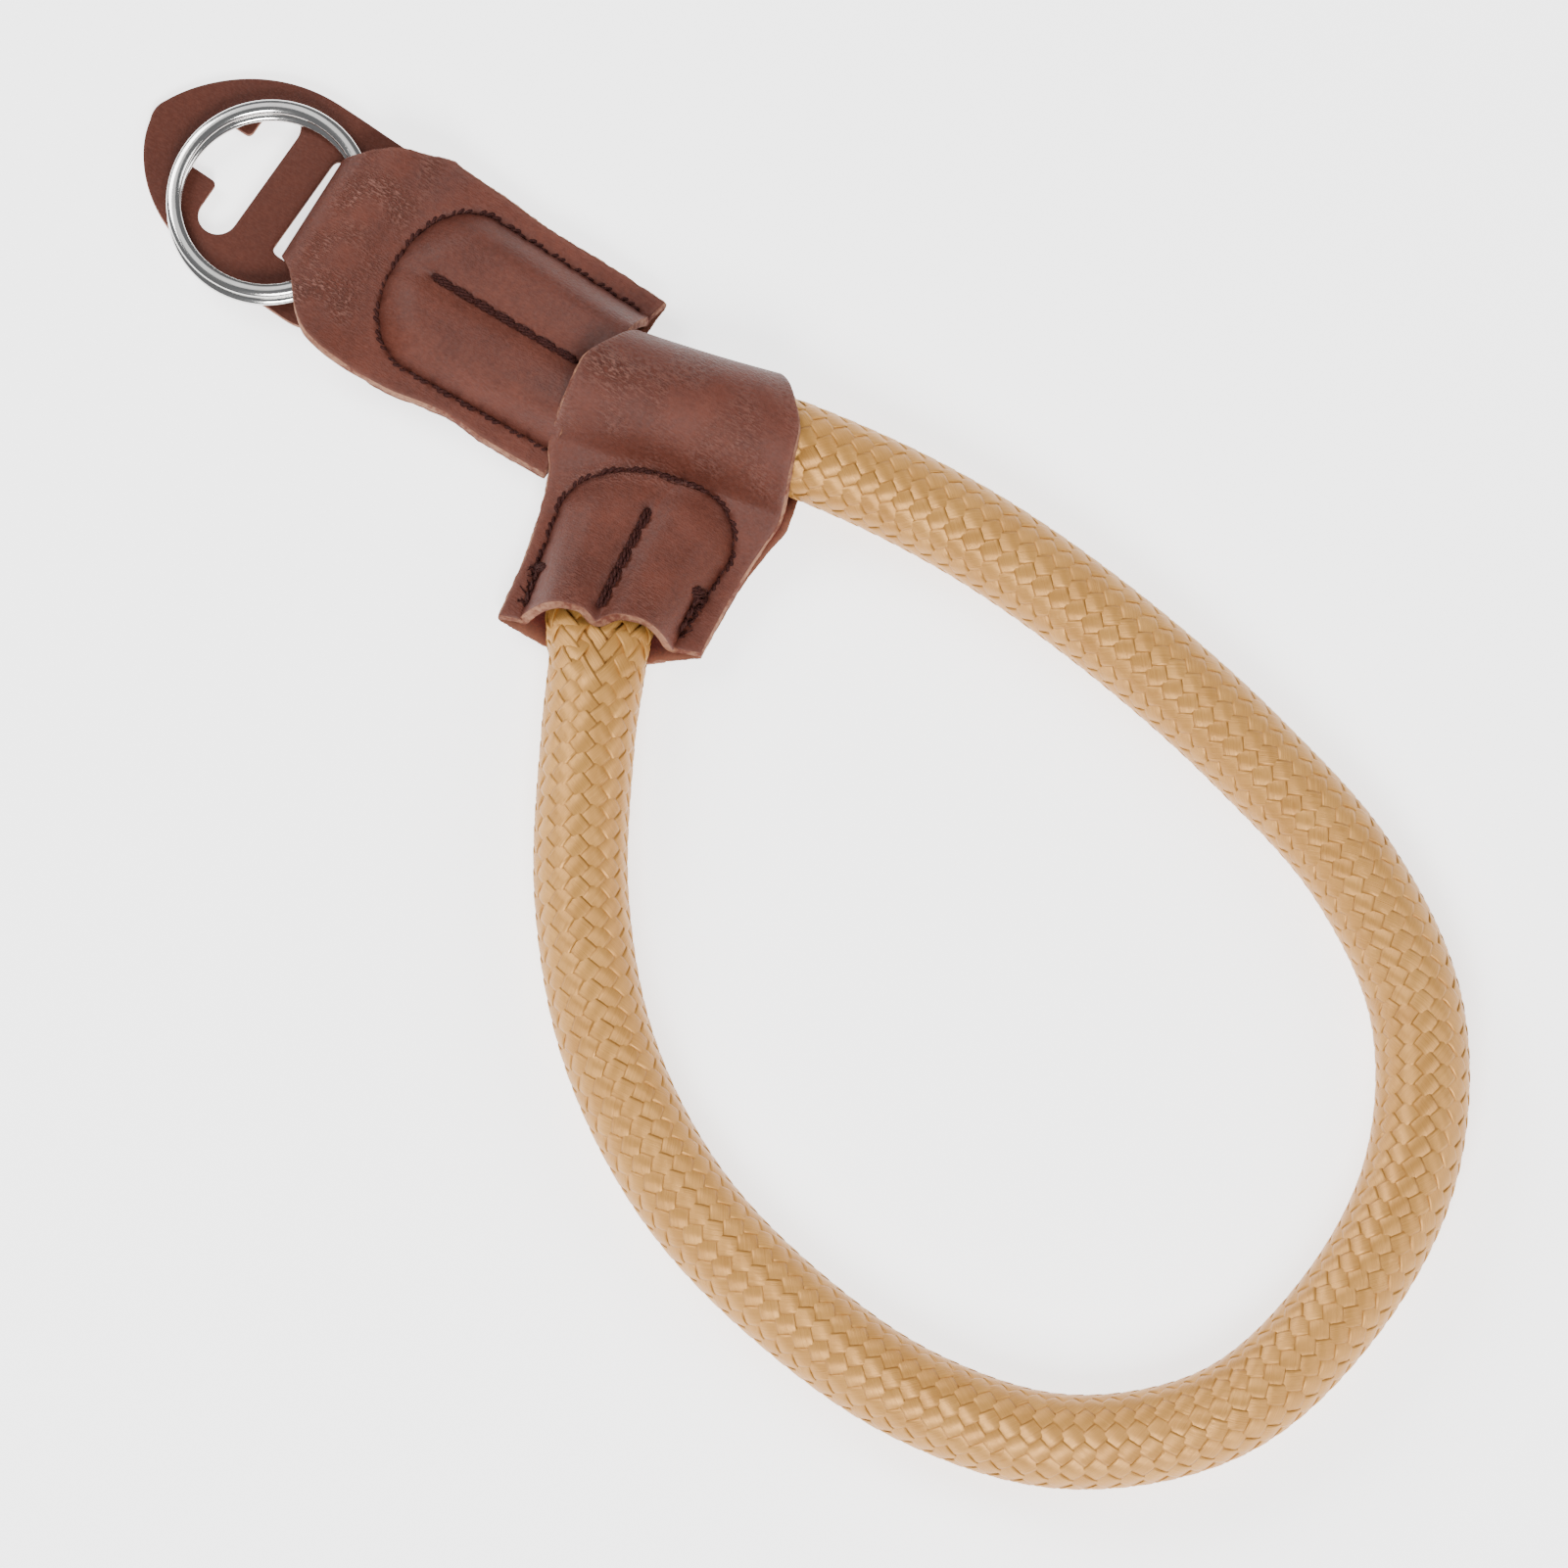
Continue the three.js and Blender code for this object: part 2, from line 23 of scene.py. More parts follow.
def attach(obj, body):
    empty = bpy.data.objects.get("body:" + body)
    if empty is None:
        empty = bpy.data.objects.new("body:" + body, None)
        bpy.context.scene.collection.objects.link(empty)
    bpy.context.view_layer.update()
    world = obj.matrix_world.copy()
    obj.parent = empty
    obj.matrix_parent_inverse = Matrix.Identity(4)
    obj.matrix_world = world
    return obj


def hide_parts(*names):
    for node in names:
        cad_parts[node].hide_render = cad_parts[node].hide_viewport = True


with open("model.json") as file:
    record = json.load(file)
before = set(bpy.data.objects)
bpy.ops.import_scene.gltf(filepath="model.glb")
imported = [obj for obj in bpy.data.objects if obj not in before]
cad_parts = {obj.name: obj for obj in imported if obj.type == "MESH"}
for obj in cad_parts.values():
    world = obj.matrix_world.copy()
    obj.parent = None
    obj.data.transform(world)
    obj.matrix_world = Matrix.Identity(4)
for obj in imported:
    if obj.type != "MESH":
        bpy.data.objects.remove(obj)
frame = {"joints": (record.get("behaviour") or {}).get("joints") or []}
log = logging.getLogger("wrist_strap")

MM = 0.001
LEATHER = 1.2  # thickness of every leather piece
HALF_LEATHER = LEATHER / 2
FLOOR_LEAF = HALF_LEATHER  # mid-surface height of a leaf that lies on the surface
LOWER_MARGIN = 2.4  # mid-surface height of a lower leaf where it is sewn
UPPER_MARGIN = 3.9  # mid-surface height of an upper leaf where it is sewn
CUT_SLANT = 0.24  # how much further the flesh side reaches than the face at a cut edge
RANDOM_SEED = 11
EDGE_INSET = 0.3  # how far a strip's mid-surface stops short of its cut edges
RAGGED = 0.09  # how far cut edges stray
# The lines of a cut edge, from the face down: height in half-thicknesses, and how far each stands out.
CUT_EDGE = ((0.74, 0.07), (0.30, 0.16), (-0.2, 0.24), (-0.70, 0.26))
RIM_COLUMNS = 3  # how many rows or columns of vertices the worn rim takes in
HOLE_DENT = (0.50, 0.55)  # depth and width of the dent at a stitch's hole
HOLE_SHADE = 0.68  # width of the painted shade round a hole
ROW_SHADE = (0.50, 0.62)  # strength and width of the painted shade along a row of stitches
UNEVEN = 0.07  # height of the upper leaves' soft unevenness
UNEVEN_SIZE = 8.0

Colour = tuple[float, float, float, float]
Point = tuple[float, float]
Rows = tuple[tuple[float, ...], ...]
Heights = Callable[[np.ndarray, np.ndarray], np.ndarray]
Reader = Callable[[np.ndarray], tuple[np.ndarray, np.ndarray]]
Socket = bpy.types.NodeSocket
Fed = Union[bpy.types.NodeSocket, float, Colour]


# ---------------------------------------------------------------- small helpers


def smoothstep(value: np.ndarray, start: float, end: float) -> np.ndarray:
    """A smooth step from 0 at start to 1 at end."""
    share = np.clip((value - start) / (end - start), 0, 1)
    return share * share * (3 - 2 * share)


def unit(vectors: np.ndarray) -> np.ndarray:
    """Vectors along the last axis, each brought to length one."""
    return vectors / np.maximum(np.linalg.norm(vectors, axis=-1, keepdims=True), 1e-9)


def eased(start: np.ndarray, end: np.ndarray, lean_in: np.ndarray, lean_out: np.ndarray,
          share: np.ndarray) -> np.ndarray:
    """A smooth curve from one place to another.

    Args:
        start: Where it starts.
        end: Where it ends.
        lean_in: How it leaves its start.
        lean_out: How it comes to its end.
        share: How far along it to read, from 0 to 1.

    Returns:
        The places there.
    """
    rise = end - start
    return start + share * (lean_in + share * (3 * rise - 2 * lean_in - lean_out
                            + share * (lean_in + lean_out - 2 * rise)))


def lengths(line: np.ndarray) -> np.ndarray:
    """The length of a line up to each of its points."""
    return np.concatenate([[0], np.cumsum(np.linalg.norm(np.diff(line, axis=0), axis=1))])


def read_rows(keys: np.ndarray, rows: np.ndarray, at: np.ndarray) -> np.ndarray:
    """Rows of numbers, read between the rows that are there."""
    return np.stack([np.interp(at, keys, column) for column in rows.T], -1)


def monotone(keys: list[float], values: list[float], at: np.ndarray) -> np.ndarray:
    """A smooth line through a table's rows that never swings past a row's value.

    Args:
        keys: The rows' places, in rising order.
        values: The rows' values.
        at: The places to read.

    Returns:
        The values at those places.
    """
    x, y = np.asarray(keys, float), np.asarray(values, float)
    step = np.diff(x)
    slope = np.diff(y) / step
    inner = np.where(slope[:-1] * slope[1:] > 0, 2 / (1 / np.where(slope[:-1] == 0, 1, slope[:-1])
                     + 1 / np.where(slope[1:] == 0, 1, slope[1:])), 0)
    tangent = np.concatenate([[slope[0]], inner, [slope[-1]]])
    at = np.clip(at, x[0], x[-1])
    row = np.clip(np.searchsorted(x, at, side="right") - 1, 0, len(step) - 1)
    t = (at - x[row]) / step[row]
    return eased(y[row], y[row + 1], tangent[row] * step[row], tangent[row + 1] * step[row], t)


def wobble(points: np.ndarray, size: float, seed: int) -> np.ndarray:
    """A soft, repeatable unevenness.

    Args:
        points: Places, with x, y and z along the last axis.
        size: The rough distance between one hump and the next.
        seed: Which unevenness.

    Returns:
        One number for each place, mostly between -1 and 1.
    """
    chance = np.random.default_rng(seed)
    total = np.zeros(points.shape[:-1])
    for _ in range(5):
        direction = unit(chance.normal(size=3)) * 2 * math.pi / (size * chance.uniform(0.7, 1.6))
        total += np.sin(points @ direction + chance.uniform(0, 2 * math.pi))
    return total / 2.6


@dataclass(frozen=True)
class Place:
    """Where a sub-assembly's own frame sits in the CAD frame, in millimetres and degrees."""

    x: float = 0.0
    y: float = 0.0
    turn: float = 0.0

    def out(self, points: np.ndarray) -> np.ndarray:
        """Points of this frame as points of the CAD frame.

        Args:
            points: Places, with x, y and z along the last axis.

        Returns:
            The same places in the CAD frame.
        """
        cosine, sine = math.cos(math.radians(self.turn)), math.sin(math.radians(self.turn))
        x, y, z = np.moveaxis(np.asarray(points, float), -1, 0)
        return np.stack([self.x + cosine * x - sine * y, self.y + sine * x + cosine * y, z], -1)


FOLD = Place(x=-28)
GUARD = Place(x=-28, turn=-3)
KEEPER = Place(x=26.3, y=2.1, turn=12)


class Draft:
    """A mesh in the making: vertices in millimetres, faces, and numbers kept for each vertex."""

    def __init__(self) -> None:
        """Starts with nothing."""
        self._points: list[np.ndarray] = []
        self._faces: list[tuple[int, ...]] = []
        self._slots: list[int] = []
        self._extras: dict[str, list[np.ndarray]] = {}
        self._count = 0

    def add(self, points: np.ndarray, faces: list, slot: int = 0, **extras: np.ndarray) -> int:
        """Adds vertices and faces.

        Args:
            points: The new vertices, with x, y and z along the last axis.
            faces: The new faces, as numbers of the new vertices.
            slot: Which of the piece's materials the new faces take.
            **extras: Numbers kept for each new vertex. "uv" has two numbers, the rest have one.

        Returns:
            The number of the first new vertex.
        """
        first = self._count
        flat = np.asarray(points, float).reshape(-1, 3)
        self._points.append(flat)
        self._count += len(flat)
        self.join(faces, slot, first)
        for name, values in extras.items():
            width = 2 if name == "uv" else 1
            self._extras.setdefault(name, []).append(
                np.broadcast_to(np.asarray(values, float).reshape(-1, width), (len(flat), width)))
        return first

    def join(self, faces: list, slot: int = 0, first: int = 0) -> None:
        """Adds faces between vertices that are there already."""
        self._faces.extend(tuple(int(corner) + first for corner in face) for face in faces)
        self._slots.extend([slot] * len(faces))

    def tube(self, rings: np.ndarray, flip: bool = False, **extras: np.ndarray) -> None:
        """Adds a tube that is closed at both ends.

        Args:
            rings: Its vertices, ring by ring.
            flip: Whether its rings run the other way round, so that the end faces turn over.
            **extras: Numbers kept for each vertex.
        """
        count, sides = rings.shape[:2]
        first = self.add(rings, grid_faces(count, sides, closed=True), **extras)
        last = first + (count - 1) * sides
        way = -1 if flip else 1
        self.join([tuple(range(first, first + sides))[::-way], tuple(range(last, last + sides))[::way]])

    def finish(self, name: str, materials: list[bpy.types.Material],
               smooth: bool = True) -> bpy.types.Object:
        """Makes the object.

        Args:
            name: The piece's name.
            materials: Its materials, in the order of the slots.
            smooth: Whether its faces are shaded smooth.

        Returns:
            The new object, in metres.
        """
        mesh = bpy.data.meshes.new(name)
        mesh.from_pydata((np.concatenate(self._points) * MM).tolist(), [], self._faces)
        mesh.polygons.foreach_set("material_index", self._slots)
        mesh.polygons.foreach_set("use_smooth", [smooth] * len(self._faces))
        for key, parts in self._extras.items():
            values = np.concatenate(parts).astype(np.float32)
            if key == "uv":
                corners = np.zeros(len(mesh.loops), np.int32)
                mesh.loops.foreach_get("vertex_index", corners)
                mesh.uv_layers.new(name="lay").data.foreach_set("uv", values[corners].ravel())
            else:
                mesh.attributes.new(key, "FLOAT", "POINT").data.foreach_set("value", values.ravel())
        for material in materials:
            mesh.materials.append(material)
        mesh.update()
        made = bpy.data.objects.new(name, mesh)
        bpy.context.scene.collection.objects.link(made)
        return made


def grid_faces(rows: int, columns: int, closed: bool = False) -> list[tuple[int, int, int, int]]:
    """Faces of a grid of vertices that is counted row by row.

    Args:
        rows: How many rows of vertices.
        columns: How many vertices in a row.
        closed: Whether the last vertex of a row joins its first.

    Returns:
        Four vertex numbers for each cell.
    """
    across = columns if closed else columns - 1
    return [(row * columns + column, row * columns + (column + 1) % columns,
             (row + 1) * columns + (column + 1) % columns, (row + 1) * columns + column)
            for row in range(rows - 1) for column in range(across)]


def reckon(piece: bpy.types.Object, body: str, slot: str, *nodes: str) -> None:
    """Gives a piece its body, hides the CAD nodes that it stands for, and reports it.

    Args:
        piece: The finished piece.
        body: The CAD body that it moves with.
        slot: The record's material slot; not used.
        *nodes: The CAD nodes that it stands for, if any.
    """
    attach(piece, body)
    if nodes:
        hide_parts(*nodes)
    triangles = sum(len(face.vertices) - 2 for face in piece.data.polygons)
    log.info("%s: %d triangles, rides on %s", piece.name, triangles, body)


# ---------------------------------------------------------------- finishes


class Graph:
    """A new material and short ways to add nodes to it."""

    def __init__(self, name: str) -> None:
        """Starts a material of that name."""
        self.material = bpy.data.materials.new(name)
        self.material.use_nodes = True
        self.nodes = self.material.node_tree.nodes
        self.links = self.material.node_tree.links
        self.skin = self.nodes["Principled BSDF"]
        self.place = self.add("ShaderNodeTexCoord").outputs["Object"]

    def add(self, kind: str, **settings: object) -> bpy.types.Node:
        """Adds a node.

        Args:
            kind: The node's type.
            **settings: Its properties.

        Returns:
            The node.
        """
        node = self.nodes.new(kind)
        for key, value in settings.items():
            setattr(node, key, value)
        return node

    def feed(self, socket: Socket, value: Fed) -> None:
        """Sets a socket to a number or colour, or links it to another node's output.

        Args:
            socket: The input to set.
            value: A number, a colour or an output socket.
        """
        if isinstance(value, bpy.types.NodeSocket):
            self.links.new(value, socket)
        else:
            socket.default_value = value

    def noise(self, scale: float, detail: float = 3.0, where: Socket | None = None,
              stretch: tuple[float, ...] | None = None, rough: float = 0.5) -> Socket:
        """Cloudy noise.

        Args:
            scale: How many clouds to the metre.
            detail: How many finer layers it has.
            where: The coordinates to read it at, or None for the object's own.
            stretch: A scale for each axis, or None.
            rough: How strong the finer layers are.

        Returns:
            The output socket of its strength, from 0 to 1.
        """
        where = self.place if where is None else where
        if stretch is not None:
            mapping = self.add("ShaderNodeMapping")
            self.feed(mapping.inputs["Vector"], where)
            mapping.inputs["Scale"].default_value = stretch
            where = mapping.outputs["Vector"]
        node = self.add("ShaderNodeTexNoise")
        self.feed(node.inputs["Vector"], where)
        node.inputs["Scale"].default_value = scale
        node.inputs["Detail"].default_value = detail
        node.inputs["Roughness"].default_value = rough
        return node.outputs["Fac"]

    def range(self, value: Fed, low: float, high: float, to_low: float = 0.0,
              to_high: float = 1.0) -> Socket:
        """Stretches a value from one range to another, and keeps it there.

        Args:
            value: The output socket to read.
            low: The input that becomes to_low.
            high: The input that becomes to_high.
            to_low: The lowest result.
            to_high: The highest result.

        Returns:
            The output socket of the result.
        """
        node = self.add("ShaderNodeMapRange")
        for socket, given in zip(node.inputs, (value, low, high, to_low, to_high)):
            self.feed(socket, given)
        return node.outputs["Result"]

    def math(self, operation: str, first: Fed, second: Fed) -> Socket:
        """One sum.

        Args:
            operation: The name of the sum.
            first: A number or output socket.
            second: A number or output socket.

        Returns:
            The output socket of the result.
        """
        node = self.add("ShaderNodeMath", operation=operation)
        self.feed(node.inputs[0], first)
        self.feed(node.inputs[1], second)
        return node.outputs[0]

    def blend(self, *parts: tuple[Socket, float]) -> Socket:
        """Adds up values, each with its own weight.

        Args:
            *parts: The values and their weights.

        Returns:
            The output socket of the sum.
        """
        first, *rest = (value if weight == 1 else self.math("MULTIPLY", value, weight)
                        for value, weight in parts)
        for value in rest:
            first = self.math("ADD", first, value)
        return first

    def mix(self, share: Fed, first: Fed, second: Fed) -> Socket:
        """Mixes two colours.

        Args:
            share: How much of the second, a number or output socket.
            first: A colour or output socket.
            second: A colour or output socket.

        Returns:
            The output socket of the colour.
        """
        node = self.add("ShaderNodeMix", data_type="RGBA")
        self.feed(node.inputs["Factor"], share)
        self.feed(node.inputs["A"], first)
        self.feed(node.inputs["B"], second)
        return next(socket for socket in node.outputs if socket.type == "RGBA")

    def kept(self, name: str) -> Socket:
        """A number that the mesh keeps for each vertex."""
        return self.add("ShaderNodeAttribute", attribute_name=name).outputs["Fac"]

    def bump(self, height: Socket, distance: float, strength: float = 0.8,
             under: Socket | None = None) -> Socket:
        """Turns heights into a bumpy normal.

        Args:
            height: The output socket of the height, from 0 to 1.
            distance: How high 1 is, in metres.
            strength: How strong the effect is.
            under: The normal of a bump below this one, or None.

        Returns:
            The output socket of the normal.
        """
        node = self.add("ShaderNodeBump")
        node.inputs["Distance"].default_value = distance
        node.inputs["Strength"].default_value = strength
        self.feed(node.inputs["Height"], height)
        if under is not None:
            self.feed(node.inputs["Normal"], under)
        return node.outputs["Normal"]

    def dress(self, **inputs: Fed) -> bpy.types.Material:
        """Sets the surface's inputs and returns the material.

        Args:
            **inputs: Values for the surface's sockets, with _ for a space in a name.

        Returns:
            The finished material.
        """
        for name, value in inputs.items():
            self.feed(self.skin.inputs[name.replace("_", " ")], value)
        return self.material


@dataclass(frozen=True)
class LeatherFinish:
    """Smooth full-grain leather with a soft shine, painted shade at its stitches and a pale painted sheen on
    its creases.
    """

    name: str = "smooth_leather"
    light: Colour = (0.103, 0.0268, 0.0155, 1)
    dark: Colour = (0.066, 0.0166, 0.0096, 1)
    # painted shade round the stitch holes and along the rows of stitches
    drawn: Colour = (0.020, 0.0045, 0.0035, 1)
    # a pale painted sheen on the creases, and real wear along the rim
    wear_and_sheen: Colour = (0.230, 0.105, 0.080, 1)
    roughness: tuple[float, float] = (0.46, 0.60)
    wrinkle: float = 0.00028  # height of the creases, in metres
    grain: float = 0.00013
    shine: float = 0.30

    def make(self) -> bpy.types.Material:
        """Builds the material.

        Returns:
            The material.
        """
        graph = Graph(self.name)
        clouds = graph.noise(120, detail=4)
        mottle = graph.noise(1400, detail=3)
        tone = graph.range(graph.blend((clouds, 1), (mottle, 0.7)), 0.62, 1.08)
        colour = graph.mix(tone, self.dark, self.light)
        # Creases bump the surface and carry a pale painted sheen; the rim takes a little of it as real wear.
        creases = graph.range(graph.noise(1, detail=3, stretch=(1500, 4600, 1500)), 0.43, 0.61)
        creases = graph.math("MULTIPLY", creases, graph.kept("wrinkle"))
        wear_and_sheen = graph.blend((creases, 0.6), (graph.kept("rim"), 0.16))
        colour = graph.mix(wear_and_sheen, colour, self.wear_and_sheen)
        # Painted shade round the stitch holes and along the rows of stitches.
        colour = graph.mix(graph.blend((graph.kept("drawn"), 0.9)), colour, self.drawn)
        pores = graph.noise(5200, detail=2)
        grain = graph.noise(2100, detail=4, rough=0.6)
        height = graph.blend((grain, 0.8), (pores, 0.3))
        normal = graph.bump(creases, self.wrinkle, under=graph.bump(height, self.grain))
        shine = graph.range(graph.blend((clouds, 1), (mottle, 1)), 0.7, 1.3, *self.roughness)
        return graph.dress(Base_Color=colour, Roughness=shine, Normal=normal, IOR=1.46,
                           Specular_IOR_Level=self.shine)


@dataclass(frozen=True)
class RawEdgeFinish:
    """The cut side of leather: pale, fibrous and matt, with darker patches of dye."""

    name: str = "leather_cut_edge"
    pale: Colour = (0.30, 0.146, 0.088, 1)
    dyed: Colour = (0.13, 0.038, 0.024, 1)

    def make(self) -> bpy.types.Material:
        """Builds the material.

        Returns:
            The material.
        """
        graph = Graph(self.name)
        patches = graph.blend((graph.noise(260), 1), (graph.noise(1500, detail=4), 0.7))
        colour = graph.mix(graph.range(patches, 0.72, 1.0), self.pale, self.dyed)
        normal = graph.bump(graph.noise(4200, detail=4, rough=0.7), 0.0002, 0.9)
        return graph.dress(Base_Color=colour, Roughness=0.85, Normal=normal, Specular_IOR_Level=0.25)


@dataclass(frozen=True)
class SuedeFinish:
    """The flesh side of leather: reddish, matt and softly napped."""

    name: str = "leather_flesh_side"
    light: Colour = (0.135, 0.025, 0.016, 1)
    dark: Colour = (0.070, 0.013, 0.009, 1)
    pale: Colour = (0.25, 0.112, 0.068, 1)

    def make(self) -> bpy.types.Material:
        """Builds the material.

        Returns:
            The material.
        """
        graph = Graph(self.name)
        nap = graph.noise(2600, detail=5, rough=0.65)
        patches = graph.noise(300, detail=3)
        tone = graph.range(graph.blend((nap, 1), (patches, 1)), 0.75, 1.25)
        colour = graph.mix(graph.blend((graph.kept("rim"), 0.6)),
                           graph.mix(tone, self.dark, self.light), self.pale)
        return graph.dress(Base_Color=colour, Roughness=0.92, Normal=graph.bump(nap, 0.00018, 0.9),
                           Specular_IOR_Level=0.15, Sheen_Weight=0.1, Sheen_Roughness=0.5)


@dataclass(frozen=True)
class FibreFinish:
    """Fine fibres of two tones: the dark sewing thread, and the rope's core."""

    name: str
    light: Colour
    dark: Colour
    scale: float  # fibres to the metre
    detail: float
    relief: float  # in metres
    roughness: float
    shine: float

    def make(self) -> bpy.types.Material:
        """Builds the material.

        Returns:
            The material.
        """
        graph = Graph(self.name)
        fibres = graph.noise(self.scale, detail=self.detail)
        colour = graph.mix(graph.range(fibres, 0.35, 0.65), self.dark, self.light)
        return graph.dress(Base_Color=colour, Roughness=self.roughness,
                           Normal=graph.bump(fibres, self.relief), Specular_IOR_Level=self.shine)


@dataclass(frozen=True)
class BraidFinish:
    """Flat strands of satin filament, read along each strand's own lay, with painted shade where they dip
    under.
    """

    name: str = "braided_filament"
    light: Colour = (0.560, 0.285, 0.074, 1)
    dark: Colour = (0.420, 0.195, 0.045, 1)
    # painted shade where a strand dips under its neighbours
    crevice_shade: Colour = (0.380, 0.172, 0.040, 1)
    roughness: tuple[float, float] = (0.32, 0.44)

    def make(self) -> bpy.types.Material:
        """Builds the material.

        Returns:
            The material.
        """
        graph = Graph(self.name)
        lay = graph.add("ShaderNodeUVMap", uv_map="lay").outputs["UV"]
        filaments = graph.noise(1, detail=2, where=lay, stretch=(26, 420, 1))
        fine = graph.noise(1, detail=1, where=lay, stretch=(60, 900, 1))
        lines = graph.blend((filaments, 0.65), (fine, 0.35))
        tone = graph.blend((graph.range(lines, 0.36, 0.64), 1), (graph.kept("tone"), 1))
        colour = graph.mix(graph.range(tone, -0.3, 1.3), self.dark, self.light)
        # Painted shade where a strand dips under its neighbours and on its hidden underside.
        colour = graph.mix(graph.kept("depth"), colour, self.crevice_shade)
        shine = graph.range(lines, 0.35, 0.65, *self.roughness)
        tangent = graph.add("ShaderNodeTangent", direction_type="UV_MAP", uv_map="lay").outputs["Tangent"]
        return graph.dress(Base_Color=colour, Metallic=0.35, Roughness=shine, Anisotropic=0.8,
                           Anisotropic_Rotation=0.25, Tangent=tangent,
                           Normal=graph.bump(lines, 0.00012), Specular_IOR_Level=0.25)


@dataclass(frozen=True)
class SteelFinish:
    """Polished steel with faint drawing lines and scuffs from use."""

    name: str = "polished_steel"
    bright: Colour = (0.66, 0.65, 0.63, 1)
    dull: Colour = (0.58, 0.565, 0.545, 1)

    def make(self) -> bpy.types.Material:
        """Builds the material.

        Returns:
            The material.
        """
        graph = Graph(self.name)
        scuffs = graph.noise(230, detail=3)
        colour = graph.mix(graph.range(scuffs, 0.4, 0.7), self.bright, self.dull)
        return graph.dress(Base_Color=colour, Metallic=1.0,
                           Roughness=graph.range(scuffs, 0.35, 0.7, 0.11, 0.18))


class Finish(Enum):
    """Every finish that the strap's pieces wear."""

    LEATHER = LeatherFinish()
    GUARD = LeatherFinish("guard_leather_face", (0.074, 0.0198, 0.0118, 1), (0.060, 0.0158, 0.0092, 1),
                          roughness=(0.52, 0.64), wrinkle=0.00005, shine=0.18)
    RAW_EDGE = RawEdgeFinish()
    SUEDE = SuedeFinish()
    THREAD = FibreFinish("sewing_thread", (0.050, 0.0150, 0.0120, 1), (0.014, 0.0035, 0.0030, 1),
                         scale=6500, detail=3, relief=0.00006, roughness=0.6, shine=0.1)
    BRAID = BraidFinish()
    CORE = FibreFinish("rope_core_fibre", (0.44, 0.21, 0.052, 1), (0.32, 0.14, 0.033, 1),
                       scale=2400, detail=4, relief=0.0001, roughness=0.9, shine=0.5)
    STEEL = SteelFinish()


class Wardrobe:
    """Makes each finish once and hands it out."""

    def __init__(self) -> None:
        """Starts with nothing made."""
        self._made: dict[Finish, bpy.types.Material] = {}

    def get(self, *finishes: Finish) -> list[bpy.types.Material]:
        """The materials of some finishes.

        Args:
            *finishes: Which finishes.

        Returns:
            Their materials, in the same order.
        """
        for finish in finishes:
            if finish not in self._made:
                self._made[finish] = finish.value.make()
        return [self._made[finish] for finish in finishes]


# ---------------------------------------------------------------- studio


@dataclass(frozen=True)
class Studio:
    """The camera, the floor and the lights."""

    azimuth: float = 31.8  # degrees
    elevation: float = 77.0
    view_width: float = 0.1897  # width of the view at the strap, in metres
    distance: float = 6.0
    sensor: float = 36.0
    anchor: tuple[float, float, float] = (-0.028, 0.0, 0.002)  # a point of the strap
    anchor_in_view: Point = (-0.3045, 0.3670)  # its place from the middle, in widths
    floor_half: float = 3000.0  # millimetres
    floor_level: float = -0.05  # just under the leather, so that the two don't share a plane
    lit: tuple[float, float, float] = (0.06, -0.04, 0)  # where the soft boxes point
    # The soft boxes: name, place, size and power.
    boxes: tuple[tuple[str, tuple[float, float, float], float, float], ...] = (
        ("key_box", (-0.77, 0.08, 0.71), 0.55, 11.3),
        ("front_box", (0.40, -0.66, 0.82), 0.45, 16.5),
        ("right_box", (0.77, 0.40, 0.71), 0.50, 5.0),
        ("top_box", (-0.62, 0.45, 1.30), 0.90, 3.2),
    )

    def shoot(self) -> None:
        """Adds the camera."""
        azimuth, elevation = math.radians(self.azimuth), math.radians(self.elevation)
        forward = Vector((-math.sin(azimuth) * math.cos(elevation),
                          math.cos(azimuth) * math.cos(elevation), -math.sin(elevation)))
        turn = forward.to_track_quat("-Z", "Y")
        right, up = turn @ Vector((1, 0, 0)), turn @ Vector((0, 1, 0))
        across, along = (share * self.view_width for share in self.anchor_in_view)
        target = Vector(self.anchor) - right * across - up * along
        data = bpy.data.cameras.new("camera")
        data.sensor_width = self.sensor
        data.lens = self.sensor * self.distance / self.view_width
        data.clip_start = 0.01
        camera = bpy.data.objects.new("camera", data)
        camera.rotation_mode = "QUATERNION"
        camera.rotation_quaternion = turn
        camera.location = target - forward * self.distance
        bpy.context.scene.collection.objects.link(camera)
        bpy.context.scene.camera = camera

    def light(self) -> None:
        """Adds the floor, the soft boxes and the room's own light."""
        draft = Draft()
        corners = np.array([(-1, -1, 0), (1, -1, 0), (1, 1, 0), (-1, 1, 0)]) * self.floor_half
        draft.add(corners + (0, 0, self.floor_level), [(0, 1, 2, 3)])
        graph = Graph("studio_floor")
        speckle = graph.noise(40, detail=2)
        tone = graph.mix(speckle, (0.93, 0.93, 0.93, 1), (0.95, 0.95, 0.95, 1))
        white = graph.dress(Base_Color=tone, Roughness=0.9, Emission_Color=(1, 1, 1, 1),
                            Emission_Strength=2.0, Specular_IOR_Level=0.1)
        draft.finish("studio_floor", [white], smooth=False)
        for name, place, size, power in self.boxes:
            data = bpy.data.lights.new(name, "AREA")
            data.size = size
            data.energy = power
            lamp = bpy.data.objects.new(name, data)
            lamp.location = place
            lamp.visible_camera = False
            lamp.rotation_mode = "QUATERNION"
            lamp.rotation_quaternion = (Vector(self.lit) - Vector(place)).to_track_quat("-Z", "Y")
            bpy.context.scene.collection.objects.link(lamp)
        world = bpy.data.worlds.new("studio")
        world.use_nodes = True
        room = world.node_tree.nodes["Background"].inputs
        room["Color"].default_value = (0.86, 0.88, 0.92, 1)
        room["Strength"].default_value = 0.25
        bpy.context.scene.world = world


# ---------------------------------------------------------------- rope


